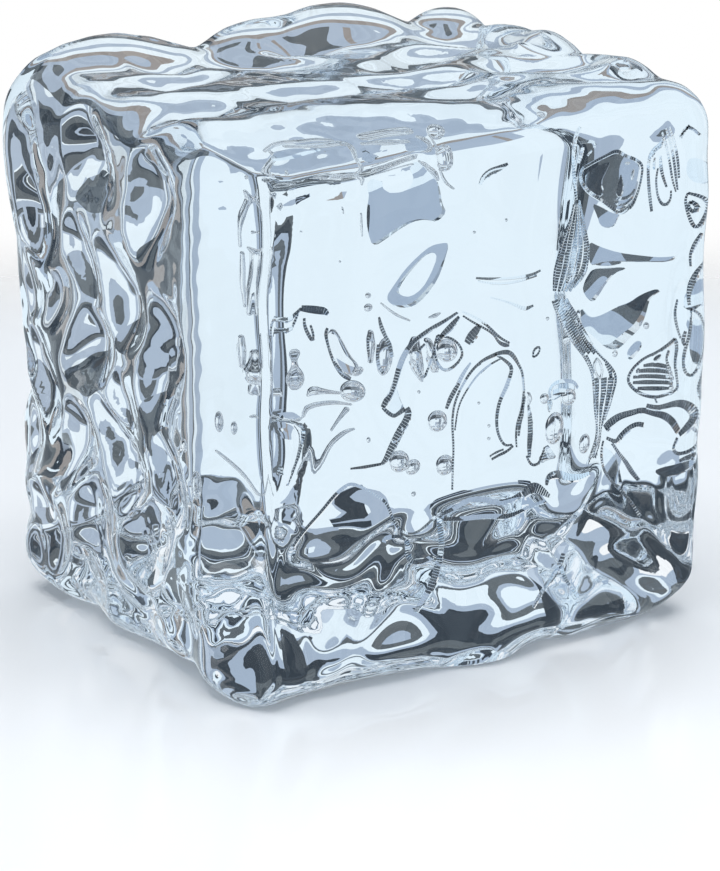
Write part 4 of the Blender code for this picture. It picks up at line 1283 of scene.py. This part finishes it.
def floor_material():
    """Pale and faintly glossy, fading out away from the block."""
    material = bpy.data.materials.new("pale floor")
    material.use_nodes = True
    tree = material.node_tree
    shader = tree.nodes["Principled BSDF"]
    place = tree.nodes.new("ShaderNodeTexCoord")
    distance = tree.nodes.new("ShaderNodeVectorMath")
    distance.operation = "LENGTH"
    tree.links.new(place.outputs["Object"], distance.inputs[0])
    fade = tree.nodes.new("ShaderNodeMapRange")
    fade.interpolation_type = "SMOOTHERSTEP"
    near, far = FLOOR_FADE
    feed(tree, fade, Value=distance.outputs["Value"], From_Min=near, From_Max=far, To_Min=1.0, To_Max=0.0)
    feed(
        tree,
        shader,
        Base_Color=(*FLOOR_COLOUR, 1.0),
        Roughness=FLOOR_ROUGHNESS,
        Specular_IOR_Level=0.5,
        Alpha=fade.outputs["Result"],
    )
    return material


def pale_floor(settings):
    """A round floor that fades out before it ends."""
    angles = np.linspace(0.0, TURN, FLOOR_CORNERS, endpoint=False)
    rim = np.stack([np.cos(angles), np.sin(angles), np.zeros(FLOOR_CORNERS)], axis=1) * settings.floor_radius
    floor = new_mesh_object("floor", rim, [list(range(FLOOR_CORNERS))], [False], floor_material())
    floor.visible_transmission = False
    floor.visible_glossy = False


def studio_camera():
    """The camera, looking a little downwards at the block."""
    across = math.radians(CAMERA_AZIMUTH)
    up = math.radians(CAMERA_ELEVATION)
    back = Vector((math.sin(across) * math.cos(up), -math.cos(across) * math.cos(up), math.sin(up)))
    right = Vector((math.cos(across), math.sin(across), 0.0))
    camera = bpy.data.objects.new("camera", bpy.data.cameras.new("camera"))
    camera.data.lens = CAMERA_LENS
    camera.data.clip_start = CAMERA_NEAREST
    centre = (Vector((0.0, 0.0, HEIGHT / 2)) - Vector(MIDDLE)) * MM
    camera.location = centre + back * CAMERA_DISTANCE + right * CAMERA_ASIDE - back.cross(right) * CAMERA_DOWN
    camera.rotation_euler = (-back).to_track_quat("-Z", "Y").to_euler()
    bpy.context.scene.collection.objects.link(camera)
    bpy.context.scene.camera = camera


class STAGE_PG_settings(bpy.types.PropertyGroup):
    """Size of the floor."""

    floor_radius: bpy.props.FloatProperty(
        name="Floor Radius",
        description="Reach of the pale floor round the block",
        default=0.2,
        unit="LENGTH",
    )


class ICE_OT_stage(bpy.types.Operator):
    """Make the floor, the light and the camera"""

    bl_idname = "ice.stage"
    bl_label = "Studio"

    def execute(self, context):
        pale_floor(context.scene.ice_stage)
        studio_world()
        studio_camera()
        scene = context.scene
        scene.view_settings.view_transform = "Standard"
        scene.cycles.max_bounces = MOST_BOUNCES
        scene.cycles.transmission_bounces = MOST_BOUNCES
        scene.cycles.glossy_bounces = GLOSSY_BOUNCES
        return {"FINISHED"}


class ICE_PT_panel(bpy.types.Panel):
    """Sizes, colours and buttons for the ice block"""

    bl_label = "Ice Block"
    bl_idname = "ICE_PT_panel"
    bl_space_type = "VIEW_3D"
    bl_region_type = "UI"
    bl_category = "Ice Block"

    def draw(self, context):
        for name in ("cell", "index", "tint", "absorption", "bubble_seed"):
            self.layout.prop(context.scene.ice_block, name)
        self.layout.operator(ICE_OT_block.bl_idname)
        self.layout.prop(context.scene.ice_stage, "floor_radius")
        self.layout.operator(ICE_OT_stage.bl_idname)


CLASSES = (IceBlockSettings, STAGE_PG_settings, ICE_OT_block, ICE_OT_stage, ICE_PT_panel)


def register():
    """Adds the settings, operators and panel."""
    for made in CLASSES:
        bpy.utils.register_class(made)
    bpy.types.Scene.ice_block = bpy.props.PointerProperty(type=IceBlockSettings)
    bpy.types.Scene.ice_stage = bpy.props.PointerProperty(type=STAGE_PG_settings)


def unregister():
    """Takes the settings, operators and panel away again."""
    del bpy.types.Scene.ice_stage
    del bpy.types.Scene.ice_block
    for made in reversed(CLASSES):
        bpy.utils.unregister_class(made)


def main():
    """Makes the block and its studio."""
    register()
    bpy.ops.ice.block()
    bpy.ops.ice.stage()


if __name__ == "__main__":
    main()
